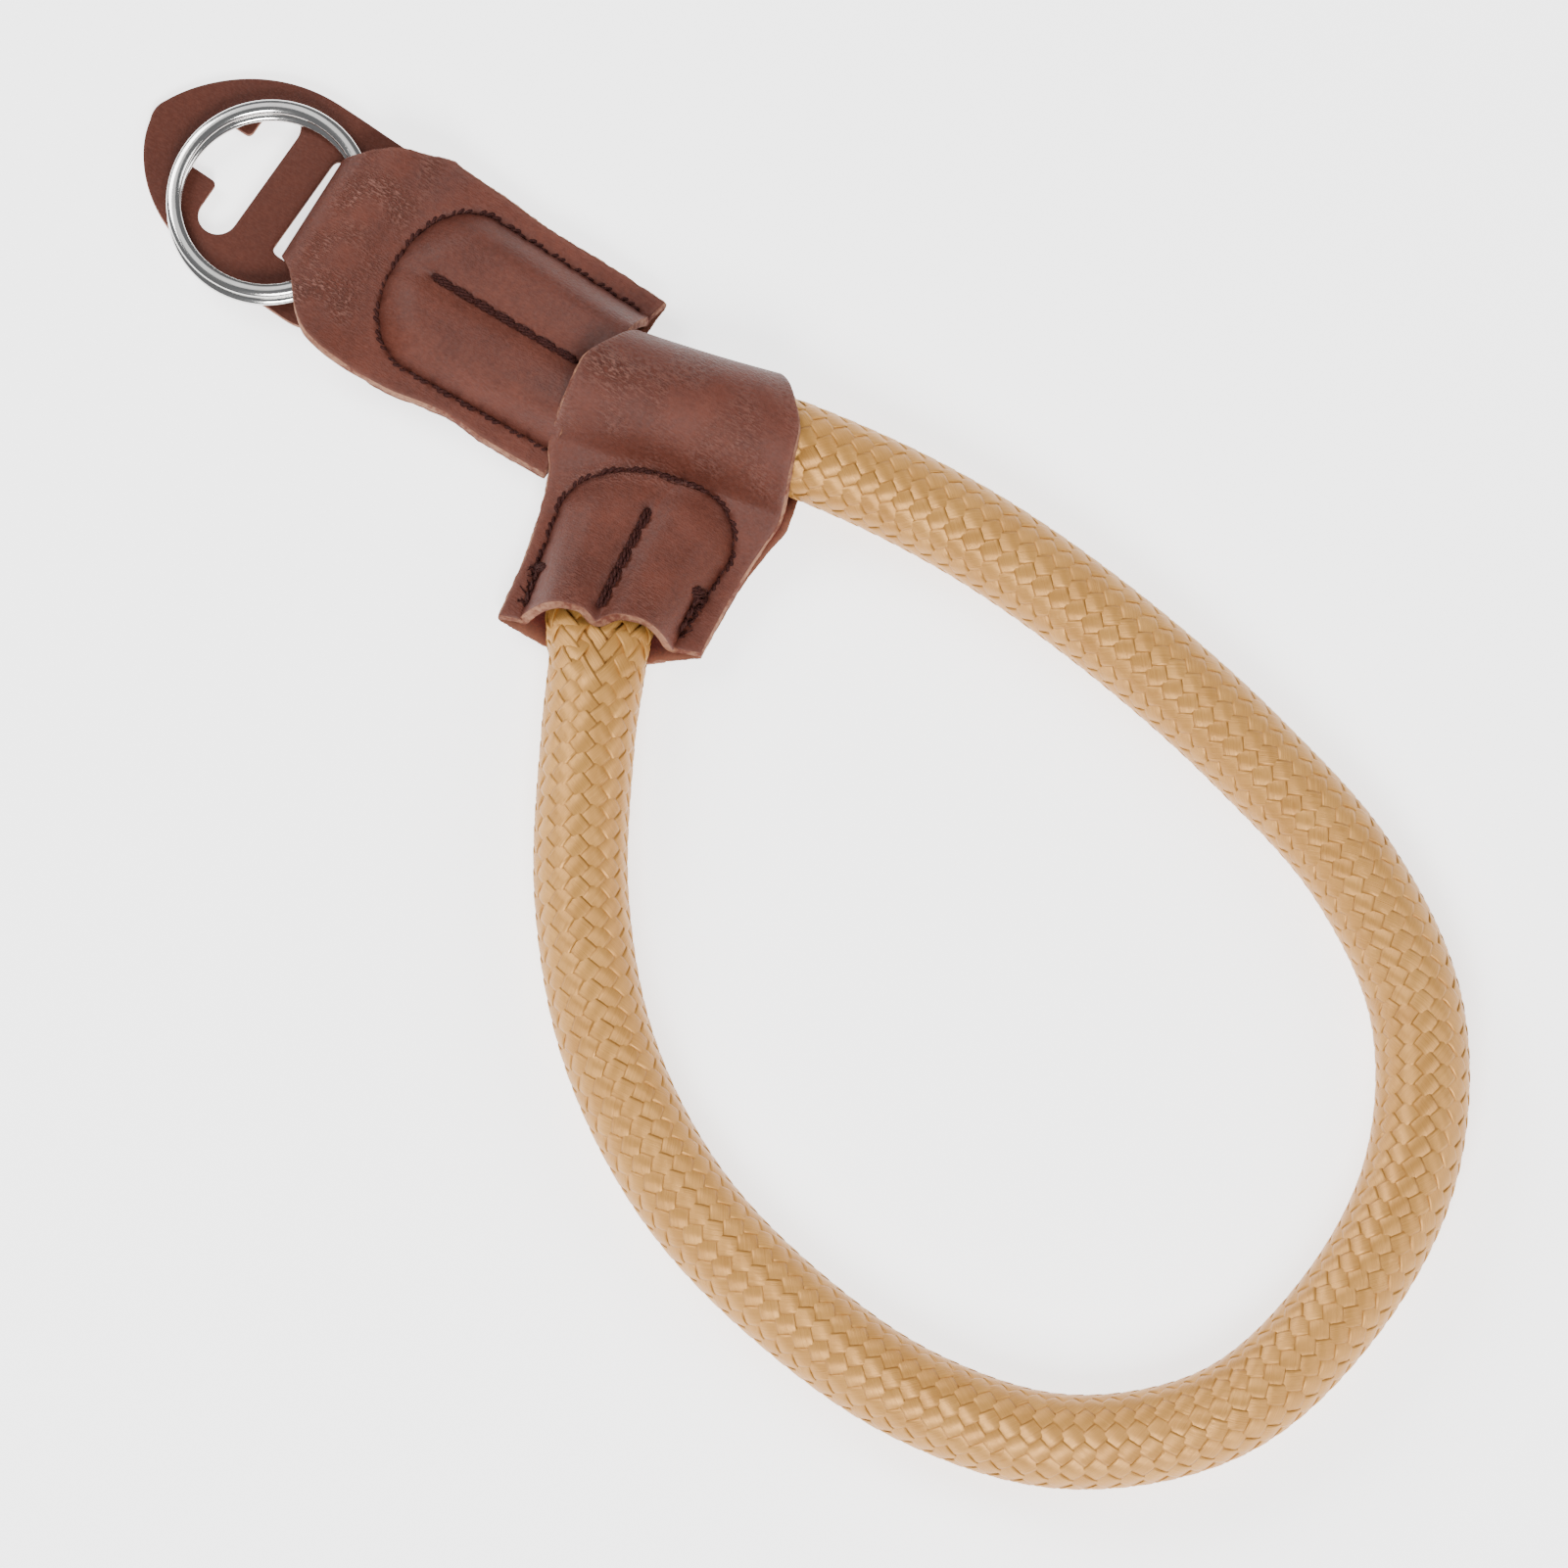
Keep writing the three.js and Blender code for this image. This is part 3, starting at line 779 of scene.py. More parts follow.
@dataclass(frozen=True)
class Rope:
    """Braided rope: sixteen strands each way, two over and two under, on a soft core."""

    diameter: float = 11.5
    # The centre line's x, y and z, and the rope's width and height there.
    route: Rows = (
        (-11, -0.2, 3.9, 12.5, 3.4), (-5, -0.2, 4.0, 16, 4.6), (3, -0.2, 4.1, 16, 4.8),
        (9, -0.3, 4.2, 14.5, 4.9), (13.6, -0.5, 4.75, 10.6, 5.3), (17, 0, 6.8, 10.9, 9.6),
        (22, 1.2, 7.25, 11.5, 11.5), (31, 3.1, 7.25, 11.5, 11.5), (39, 4.8, 7.2, 11.5, 11.5),
        (53, 6.9, 5.8, 11.5, 11.5), (67, 7.2, 5.8, 11.5, 11.5), (86, 5.4, 5.8, 11.5, 11.5),
        (105, 1.7, 5.8, 11.5, 11.5), (123.5, -4.2, 5.8, 11.5, 11.5), (139, -15, 5.8, 11.5, 11.5),
        (148.5, -32, 5.8, 11.5, 11.5), (150, -51, 5.8, 11.5, 11.5), (145, -69, 5.8, 11.5, 11.5),
        (131, -82, 5.8, 11.5, 11.5), (113, -86.8, 5.8, 11.5, 11.5), (94, -85.7, 5.8, 11.5, 11.5),
        (75.5, -80.6, 5.8, 11.5, 11.5), (59, -70.4, 5.8, 11.5, 11.5), (46, -56, 5.8, 11.5, 11.5),
        (36.3, -39, 5.8, 11.5, 11.3), (32.2, -30.2, 5.9, 11.8, 8.2), (29.4, -24.5, 4.6, 13.5, 6.0),
        (28.3, -17, 4.1, 15, 4.8), (27.8, -10.6, 3.9, 12.5, 3.6),
    )
    length: float = 379.2
    strands: int = 16  # each way
    lead: float = 40.8  # the length in which a strand goes once round
    strand_width: float = 2.6
    strand_crown: float = 0.24  # height of a strand's rounded face over its middle
    wave: float = 0.30  # how far a strand rises and sinks as it passes over and under
    sunk: float = 0.55  # how much less it sinks than it rises
    slope: float = 0.72  # angle of a strand to the rope's length, in radians
    tone_spread: float = 0.16  # how much one showing length of a strand differs from the next
    inner_radius: float = 4.88
    crease_width: float = 0.5  # of the dent along the top, in radians round the rope
    # Places in one over and under of a strand at which it has a ring of vertices.
    beats: tuple[float, ...] = (-1.22, -0.96, -0.64, -0.22, 0.22, 0.64, 0.96, 1.22, 2.0)
    # The strand's section: across in widths, up in crowns.
    section: tuple[Point, ...] = (
        (-0.5, 0.35), (-0.37, 0.85), (0.0, 1.0), (0.37, 0.85), (0.5, 0.35),
        (0.3, -0.8), (0.0, -1.0), (-0.3, -0.8),
    )

    def line(self) -> dict[str, np.ndarray]:
        """The centre line at close steps.

        Returns:
            Arrays of place, size, which is width and height, and the length so far.
        """
        table = np.array(self.route)
        knots = np.vstack([2 * table[0, :3] - table[1, :3], table[:, :3],
                           2 * table[-1, :3] - table[-2, :3]])
        places, sizes = [], []
        steps = np.linspace(0, 1, 41)[:-1, None]
        for index in range(len(table) - 1):
            before, start, end, after = knots[index:index + 4]
            gap_in, gap, gap_out = (math.sqrt(np.linalg.norm(b - a)) for a, b in
                                    ((before, start), (start, end), (end, after)))
            straight = (end - start) / gap
            lean_in = gap * ((start - before) / gap_in - (end - before) / (gap_in + gap) + straight)
            lean_out = gap * (straight - (after - start) / (gap + gap_out) + (after - end) / gap_out)
            places.append(eased(start, end, lean_in, lean_out, steps))
            sizes.append(table[index, 3:] + steps * (table[index + 1, 3:] - table[index, 3:]))
        place = np.vstack([*places, table[-1:, :3]])
        size = np.vstack([*sizes, table[-1:, 3:]])
        return {"place": place, "size": size, "so_far": lengths(place)}

    def crease(self, so_far: np.ndarray) -> np.ndarray:
        """How deep the middle stitches press the rope's upper side, along the rope.

        Args:
            so_far: Lengths from the rope's first end.

        Returns:
            The depth at each.
        """
        first = 0.9 * (1 - smoothstep(so_far, 18, 25))
        back = self.length - so_far
        second = 1.0 + 0.5 * smoothstep(back, 9, 18)
        return first + second * (1 - smoothstep(back, 18.5, 23.5))

    def surface(self, line: dict[str, np.ndarray], so_far: np.ndarray, turn: np.ndarray,
                radius: float) -> tuple[np.ndarray, np.ndarray]:
        """Places on the rope, round its centre line.

        Args:
            line: The centre line.
            so_far: Lengths from the rope's first end.
            turn: Angles round the rope, with a quarter turn on top.
            radius: Distance from the centre line where the rope is round.

        Returns:
            The places, and the rope's outward directions there.
        """
        keys = line["so_far"]
        centre = read_rows(keys, line["place"], so_far)
        tangent = unit(read_rows(keys, unit(np.gradient(line["place"], keys, axis=0)), so_far))
        side = unit(np.cross(tangent, (0, 0, 1)))
        lift = np.cross(side, tangent)
        offset = radius * (np.cos(turn)[..., None] * side + np.sin(turn)[..., None] * lift)
        pressed = read_rows(keys, line["size"][:, [0, 0, 1]], so_far) / self.diameter
        out = unit(offset / pressed)
        offset *= pressed
        away = np.angle(np.exp(1j * (turn - math.pi / 2)))
        dent = self.crease(so_far) * np.exp(-((away / self.crease_width) ** 2))
        offset[..., 2] -= dent * radius / (self.diameter / 2)
        return centre + offset, out

    def strand(self, line: dict[str, np.ndarray], draft: Draft, number: int, way: int) -> None:
        """Adds one strand to a draft.

        Args:
            line: The centre line.
            draft: The mesh in the making.
            number: Which strand, counted round the rope.
            way: 1 for a strand that turns to the left and -1 for one that turns to the right.
        """
        crossing = self.lead / (2 * self.strands)
        shift = 0.5 if way > 0 else 2.5
        turns = np.arange(-3, self.length / (4 * crossing) + 14) * 4
        meets = (turns[:, None] + np.array(self.beats)[None, :] + shift).ravel() - 12
        if way > 0:
            so_far = (meets - 2 * number) * crossing
        else:
            so_far = (2 * number - meets) * crossing + math.ceil(self.length / (4 * crossing)) * 4 * crossing
            so_far = so_far[::-1]
        so_far = np.concatenate([[0.4], so_far[(so_far > 0.9) & (so_far < self.length - 0.9)],
                                 [self.length - 0.4]])
        turn = 2 * math.pi * (number / self.strands + way * so_far / self.lead)
        beat = turn * self.strands / math.pi - shift
        swing = np.cos(2 * math.pi * beat / 4)
        swing = np.where(swing > 0, swing, self.sunk * swing)
        centre, out = self.surface(line, so_far, turn, self.diameter / 2)
        centre -= out * (self.strand_crown + self.wave * (1 - swing))[:, None]
        along = unit(np.gradient(centre, so_far, axis=0))
        across = unit(np.cross(along, out))
        out = np.cross(across, along)
        flat = np.array(self.section)
        points = (centre[:, None] + across[:, None] * flat[None, :, :1] * self.strand_width
                  + out[:, None] * flat[None, :, 1:] * self.strand_crown)
        chance = np.random.default_rng(RANDOM_SEED + 100 * number + way)
        tones = chance.normal(0, self.tone_spread, 4000)[np.floor((beat + 2) / 4).astype(int) % 4000]
        # Painted shade where the strand dips under its neighbours, and all over its hidden underside.
        depth = np.repeat(np.clip(-swing, 0, 1)[:, None], len(flat), 1)
        depth = np.where(flat[None, :, 1] < -0.1, 1.0, depth)
        lay = (so_far / math.cos(self.slope) * MM)[:, None]
        uv = np.stack(np.broadcast_arrays(lay, flat[None, :, 0] * 0.05 + number), -1)
        draft.tube(points, tone=np.repeat(tones, len(flat)), depth=depth.ravel(), uv=uv)

    def core(self, line: dict[str, np.ndarray]) -> Draft:
        """The rope's soft inside, closed at both ends.

        Args:
            line: The centre line.

        Returns:
            The mesh in the making.
        """
        so_far = np.linspace(0.2, self.length - 0.2, 260)
        sides = 28
        turn = np.arange(sides) * 2 * math.pi / sides
        along, around = np.meshgrid(so_far, turn, indexing="ij")
        points, _ = self.surface(line, along, around, self.inner_radius)
        draft = Draft()
        draft.tube(points)
        return draft

    def build(self, wardrobe: Wardrobe) -> None:
        """Args:
            wardrobe: Where its materials come from.
        """
        line = self.line()
        core = self.core(line).finish("rope_core", wardrobe.get(Finish.CORE))
        reckon(core, "strap", "braided_rope")
        for name, way in (("rope_strands_left", 1), ("rope_strands_right", -1)):
            draft = Draft()
            for number in range(self.strands):
                self.strand(line, draft, number, way)
            braid = draft.finish(name, wardrobe.get(Finish.BRAID))
            reckon(braid, "strap", "braided_rope", *(["rope"] if way > 0 else []))


# ---------------------------------------------------------------- leather


@dataclass(frozen=True)
class Pocket:
    """The pocket that a row of stitches closes round a rope's end, in the plane of its leaf.

    Along runs from the pocket's rounded end towards the leather's mouth.
    """

    half: float  # half-width where the straight sides begin
    mouth_half: float  # half-width at the mouth
    round_end: float  # length of the rounded end
    length: float
    middle: tuple[Point, ...]  # along and across of the pocket's middle line
    bulge: float = 4.3  # height of the leather over its margin
    mouth_bulge: float = 6.4
    groove: float = 1.25  # depth of the dent along the middle stitches
    mouth_groove: float = 1.25
    groove_width: float = 2.3
    run: float = 4.8  # distance over which the leather climbs from the stitches
    power: float = 2.1  # how full the rounded end and the climb are
    sink: float = 0.32  # how far the row of stitches draws the leather down

    def middle_at(self, along: np.ndarray) -> np.ndarray:
        """The middle line's place across the leaf."""
        keys, values = zip(*self.middle)
        return monotone(list(keys), list(values), along)

    def half_at(self, along: np.ndarray) -> np.ndarray:
        """Half the pocket's width.

        Args:
            along: Distances from the rounded end.

        Returns:
            The half-widths, 0 before the rounded end.
        """
        cap = np.clip(1 - along / self.round_end, 0, 1)
        rounded = np.clip(1 - cap ** self.power, 0, 1) ** (1 / self.power)
        share = np.clip((along - self.round_end) / (self.length - self.round_end), 0, 1)
        return rounded * (self.half + share * (self.mouth_half - self.half))

    def seam(self) -> np.ndarray:
        """The row of stitches, from one side of the mouth round the end to the other side.

        Returns:
            Places across and along the leaf, at close steps.
        """
        along = np.concatenate([[0], np.geomspace(0.004, 1, 220)]) * (self.length + 4)
        sides = [np.stack([self.middle_at(along) + side * self.half_at(along), along], -1)
                 for side in (-1, 1)]
        return np.vstack([sides[0][::-1], sides[1][1:]])

    def depth(self, across: np.ndarray, along: np.ndarray) -> np.ndarray:
        """Distance from the stitches.

        Args:
            across: Places across the leaf.
            along: Distances from the rounded end.

        Returns:
            The distances, above 0 in the pocket and below 0 outside it.
        """
        places = np.stack([across.ravel(), along.ravel()], -1)
        away = nearest(places, self.seam()).reshape(across.shape)
        inside = (np.abs(across - self.middle_at(along)) < self.half_at(along)) & (along > 0)
        return np.where(inside, away, -away)

    def climb(self, depth: np.ndarray) -> np.ndarray:
        """How far the leather has climbed onto the rope."""
        return 1 - (1 - np.clip(depth / self.run, 0, 1)) ** self.power

    def height(self, across: np.ndarray, along: np.ndarray, depth: np.ndarray) -> np.ndarray:
        """Height of the upper leaf over its margin.

        Args:
            across: Places across the leaf.
            along: Distances from the rounded end.
            depth: Distances from the stitches at those places.

        Returns:
            The heights, with the dents that both rows of stitches press in.
        """
        share = np.clip(along / self.length, 0, 1) ** 2
        full = self.bulge + share * (self.mouth_bulge - self.bulge)
        groove = self.groove + share ** 2 * (self.mouth_groove - self.groove)
        dent = groove * np.exp(-(((across - self.middle_at(along)) / self.groove_width) ** 2))
        return self.climb(depth) * (full - dent) - self.sink * np.exp(-((depth / 0.5) ** 2))


def nearest(places: np.ndarray, line: np.ndarray) -> np.ndarray:
    """Distance from each place to the nearest point of a line.

    Args:
        places: The places, one to a row.
        line: The line's points, one to a row.

    Returns:
        The distances.
    """
    found = np.empty(len(places))
    start, step = line[:-1], np.diff(line, axis=0)
    span = np.maximum((step ** 2).sum(-1), 1e-12)
    for first in range(0, len(places), 4000):
        gap = places[first:first + 4000, None] - start[None]
        share = np.clip((gap * step[None]).sum(-1) / span[None], 0, 1)
        away = gap - share[..., None] * step[None]
        found[first:first + 4000] = np.sqrt((away ** 2).sum(-1).min(1))
    return found


def evenly(line: np.ndarray, pitch: float) -> np.ndarray:
    """Points along a line at an even pitch, both of its ends among them.

    Args:
        line: The line's points, one to a row.
        pitch: The rough distance between two points.

    Returns:
        The points, one to a row.
    """
    so_far = lengths(line)
    count = max(2, round(so_far[-1] / pitch) + 1)
    return read_rows(so_far, line, np.linspace(0, so_far[-1], count))


@dataclass
class Seam:
    """A row of stitches through a leaf: its holes in order, in the leaf's own frame."""

    holes: np.ndarray
    doubled: bool = False


@dataclass(frozen=True)
class Thread:
    """Two-ply sewing thread and the stitches made of it."""

    ply: float = 0.20  # radius of one ply
    spread: float = 0.16  # how far a ply's middle lies from the thread's
    twist: float = 1.9  # length of one turn of the plies
    rise: float = 0.22  # how far a stitch's middle stands over the leather
    drop: float = 0.88  # how far its ends go down from there
    steps: int = 15
    sides: int = 7

    def lay(self, draft: Draft, points: np.ndarray, side: np.ndarray, size: float) -> None:
        """Adds a length of thread to a draft.

        Args:
            draft: The mesh in the making.
            points: The thread's middle line.
            side: A direction square to the line.
            size: How thick the thread is, as a share of its usual size.
        """
        so_far = lengths(points)
        tangent = unit(np.gradient(points, axis=0))
        across = unit(side[None] - tangent * (tangent @ side)[:, None])
        up = np.cross(across, tangent)
        turn = np.arange(self.sides) * 2 * math.pi / self.sides
        for ply in (0, math.pi):
            spiral = 2 * math.pi * so_far / self.twist + ply
            middle = points + size * self.spread * (np.cos(spiral)[:, None] * across
                                                    + np.sin(spiral)[:, None] * up)
            rings = middle[:, None] + size * self.ply * (
                np.cos(turn)[None, :, None] * across[:, None] + np.sin(turn)[None, :, None] * up[:, None])
            draft.tube(rings, flip=True)

    def stitch(self, draft: Draft, leaf: Reader, start: np.ndarray, end: np.ndarray, shift: float,
               size: float) -> None:
        """Adds one stitch, down into a hole at each end.

        Args:
            draft: The mesh in the making.
            leaf: Gives places and normals on the leather for places in the leaf's plane.
            start: The hole where it comes up.
            end: The hole where it goes down.
            shift: How far the stitch's middle lies to one side.
            size: How thick the thread is, as a share of its usual size.
        """
        share = np.linspace(0, 1, self.steps)
        plane = start + share[:, None] * (end - start)
        chord = unit(end - start)
        plane = plane + shift * np.sin(share * math.pi)[:, None] ** 0.5 * np.array([-chord[1], chord[0]])
        place, normal = leaf(plane)
        lift = self.rise - self.drop * np.abs(2 * share - 1) ** 4
        points = place + normal * lift[:, None]
        side = np.cross(unit(points[-1] - points[0]), normal[self.steps // 2])
        self.lay(draft, points, unit(side), size)

    def sew(self, draft: Draft, leaf: Reader, seams: list[Seam]) -> None:
        """Adds whole rows of stitches.

        Args:
            draft: The mesh in the making.
            leaf: Gives places and normals on the leather for places in the leaf's plane.
            seams: The rows.
        """
        for seam in seams:
            runs = ((0.33, 1.0), (-0.33, 1.0)) if seam.doubled else ((0.03, 1.3),)
            for start, end in zip(seam.holes[:-1], seam.holes[1:]):
                for shift, size in runs:
                    self.stitch(draft, leaf, start, end, shift, size)

    def fray(self, draft: Draft, place: np.ndarray, normal: np.ndarray, reach: float,
             count: int) -> None:
        """Adds loose fibres that stand out from a knot.

        Args:
            draft: The mesh in the making.
            place: Where they start.
            normal: The leather's direction there.
            reach: How long they are.
            count: How many there are.
        """
        chance = np.random.default_rng(RANDOM_SEED + int(abs(place[0] * 977 + place[1] * 131)))
        for _ in range(count):
            way = unit(chance.normal(size=3) + normal * 0.7)
            bend = chance.normal(size=3) * 0.5
            share = np.linspace(0, 1, 7)[:, None]
            points = place + reach * (way * share + bend * share ** 2)
            side = unit(np.cross(way, normal + 0.01))
            self.lay(draft, points, side, 0.25)


def thicken(grid: np.ndarray, drawn: np.ndarray, wrinkle: np.ndarray, place: Place) -> Draft:
    """Gives a strip of leather its thickness and rounded, fibrous cut edges.

    Args:
        grid: Mid-surface places, row by row along the strip.
        drawn: Painted shade round the stitch holes and along the rows, from 0 to 1, for each place.
        wrinkle: How creased the leather is, and how much pale painted sheen it gets, from 0 to 1, for each
            place.
        place: Where the strip's own frame sits.

    Returns:
        The mesh in the making: the outer side, the cut edges and the inner side, in three slots.
    """
    rows, columns = grid.shape[:2]
    along, across = np.gradient(grid, axis=0), np.gradient(grid, axis=1)
    normal = unit(np.cross(across, along)) * HALF_LEATHER
    draft = Draft()
    faces = grid_faces(rows, columns)
    row_at, column_at = np.indices((rows, columns))
    from_edge = np.minimum(np.minimum(row_at, rows - 1 - row_at),
                           np.minimum(column_at, columns - 1 - column_at))
    rim = np.clip(1 - from_edge / RIM_COLUMNS, 0, 1)
    extras = {"drawn": drawn.ravel(), "wrinkle": wrinkle.ravel(), "rim": rim.ravel()}
    outer = draft.add(place.out(grid + normal), faces, 0, **extras)
    at = np.array([(0, column) for column in range(columns - 1)]
                  + [(row, columns - 1) for row in range(rows - 1)]
                  + [(rows - 1, column) for column in range(columns - 1, 0, -1)]
                  + [(row, 0) for row in range(rows - 1, 0, -1)])
    out = np.zeros((len(at), 3))
    for row, column, vectors in ((0, None, -along), (rows - 1, None, along),
                                 (None, 0, -across), (None, columns - 1, across)):
        chosen = (at[:, 0] == row) if row is not None else (at[:, 1] == column)
        out[chosen] += unit(vectors[at[chosen, 0], at[chosen, 1]])
    out = unit(out)
    middle, lean = grid[at[:, 0], at[:, 1]], normal[at[:, 0], at[:, 1]]
    sides = grid - normal
    sides[at[:, 0], at[:, 1]] += CUT_SLANT * out
    inner = draft.add(place.out(sides), [face[::-1] for face in faces], 2, **extras)
    chance = np.random.default_rng(RANDOM_SEED)
    layers = [at[:, 0] * columns + at[:, 1] + outer]
    for share, reach in CUT_EDGE:
        stray = RAGGED * (chance.uniform(-1, 1, len(at)) * 0.5 + 0.5 * wobble(middle, 1.6, 7))
        points = middle + lean * share + out * (reach + stray)[:, None]
        first = draft.add(place.out(points), [], drawn=0.0, wrinkle=0.0, rim=1.0)
        layers.append(np.arange(len(at)) + first)
    layers.append(at[:, 0] * columns + at[:, 1] + inner)
    for upper, lower in zip(layers[:-1], layers[1:]):
        after, under = np.roll(upper, -1), np.roll(lower, -1)
        draft.join(list(zip(upper, lower, under, after)), 1)
    return draft


def drawn_in(places: np.ndarray, seams: list[Seam]) -> tuple[np.ndarray, np.ndarray]:
    """The dents that stitches press into the leather, and the painted shade round them.

    Args:
        places: Places in the leaf's plane, with two numbers along the last axis.
        seams: The leaf's rows of stitches.

    Returns:
        The dents at the holes, in millimetres, and the painted shade round the holes and along the rows,
        from 0 to 1.
    """
    flat = places.reshape(-1, 2)
    dent, shade = np.zeros(len(flat)), np.zeros(len(flat))
    for seam in seams:
        close = np.sqrt(((flat[:, None] - seam.holes[None]) ** 2).sum(-1)).min(1)
        line = nearest(flat, seam.holes)
        dent = np.maximum(dent, HOLE_DENT[0] * np.exp(-((close / HOLE_DENT[1]) ** 2)))
        shade = np.maximum(shade, np.exp(-((close / HOLE_SHADE) ** 2)))
        shade = np.maximum(shade, ROW_SHADE[0] * np.exp(-((line / ROW_SHADE[1]) ** 2)))
    return dent.reshape(places.shape[:-1]), shade.reshape(places.shape[:-1])


def leaf_reader(height: Heights, out: float, place: Place) -> Reader:
    """A way to read places and normals on one side of a leaf.

    Args:
        height: Gives mid-surface heights for places across the plane.
        out: 1 for a leaf seen from above and -1 for one seen from below.
        place: Where the leaf's own frame sits.

    Returns:
        A function from places in the plane to places and normals in the CAD frame.
    """
    step = 0.15

    def read(plane: np.ndarray) -> tuple[np.ndarray, np.ndarray]:
        """Places and normals over places in the plane."""
        x, y = plane[:, 0], plane[:, 1]
        z = height(x, y)
        lean_x = (height(x + step, y) - height(x - step, y)) / (2 * step)
        lean_y = (height(x, y + step) - height(x, y - step)) / (2 * step)
        normal = unit(np.stack([-lean_x, -lean_y, np.ones_like(z)], -1)) * out
        points = np.stack([x, y, z], -1) + normal * HALF_LEATHER
        return place.out(points), place.out(normal) - place.out(np.zeros(3))

    return read


def edge_lines(rows: list[tuple[float, ...]], at: np.ndarray) -> tuple[np.ndarray, np.ndarray]:
    """The two edges of a strip's mid-surface."""
    keys, low, high = (list(column) for column in zip(*rows))
    return monotone(keys, low, at) + EDGE_INSET, monotone(keys, high, at) - EDGE_INSET


def between(low: np.ndarray, high: np.ndarray, columns: int) -> np.ndarray:
    """Even places across a strip, row by row, from one edge to the other."""
    return low[:, None] + (high - low)[:, None] * np.linspace(0, 1, columns)


def patches(grid: np.ndarray, seed: int) -> np.ndarray:
    """Soft patches of more and fewer creases, and of their pale painted sheen, from 0 to 1."""
    return np.clip(0.5 + 0.8 * wobble(grid, 6.0, seed), 0, 1)


def hand_over(name: str, leather: Draft, sewing: Draft, wardrobe: Wardrobe) -> None:
    """Args:
        name: The strip's name.
        leather: Its leather in the making.
        sewing: Its stitches in the making.
        wardrobe: Where its materials come from.
    """
    sheet = leather.finish(f"{name}_leather", wardrobe.get(Finish.LEATHER, Finish.RAW_EDGE, Finish.SUEDE))
    reckon(sheet, "strap", "brown_leather", f"leather_{name}")
    threads = sewing.finish(f"{name}_thread", wardrobe.get(Finish.THREAD))
    reckon(threads, "strap", "brown_leather")


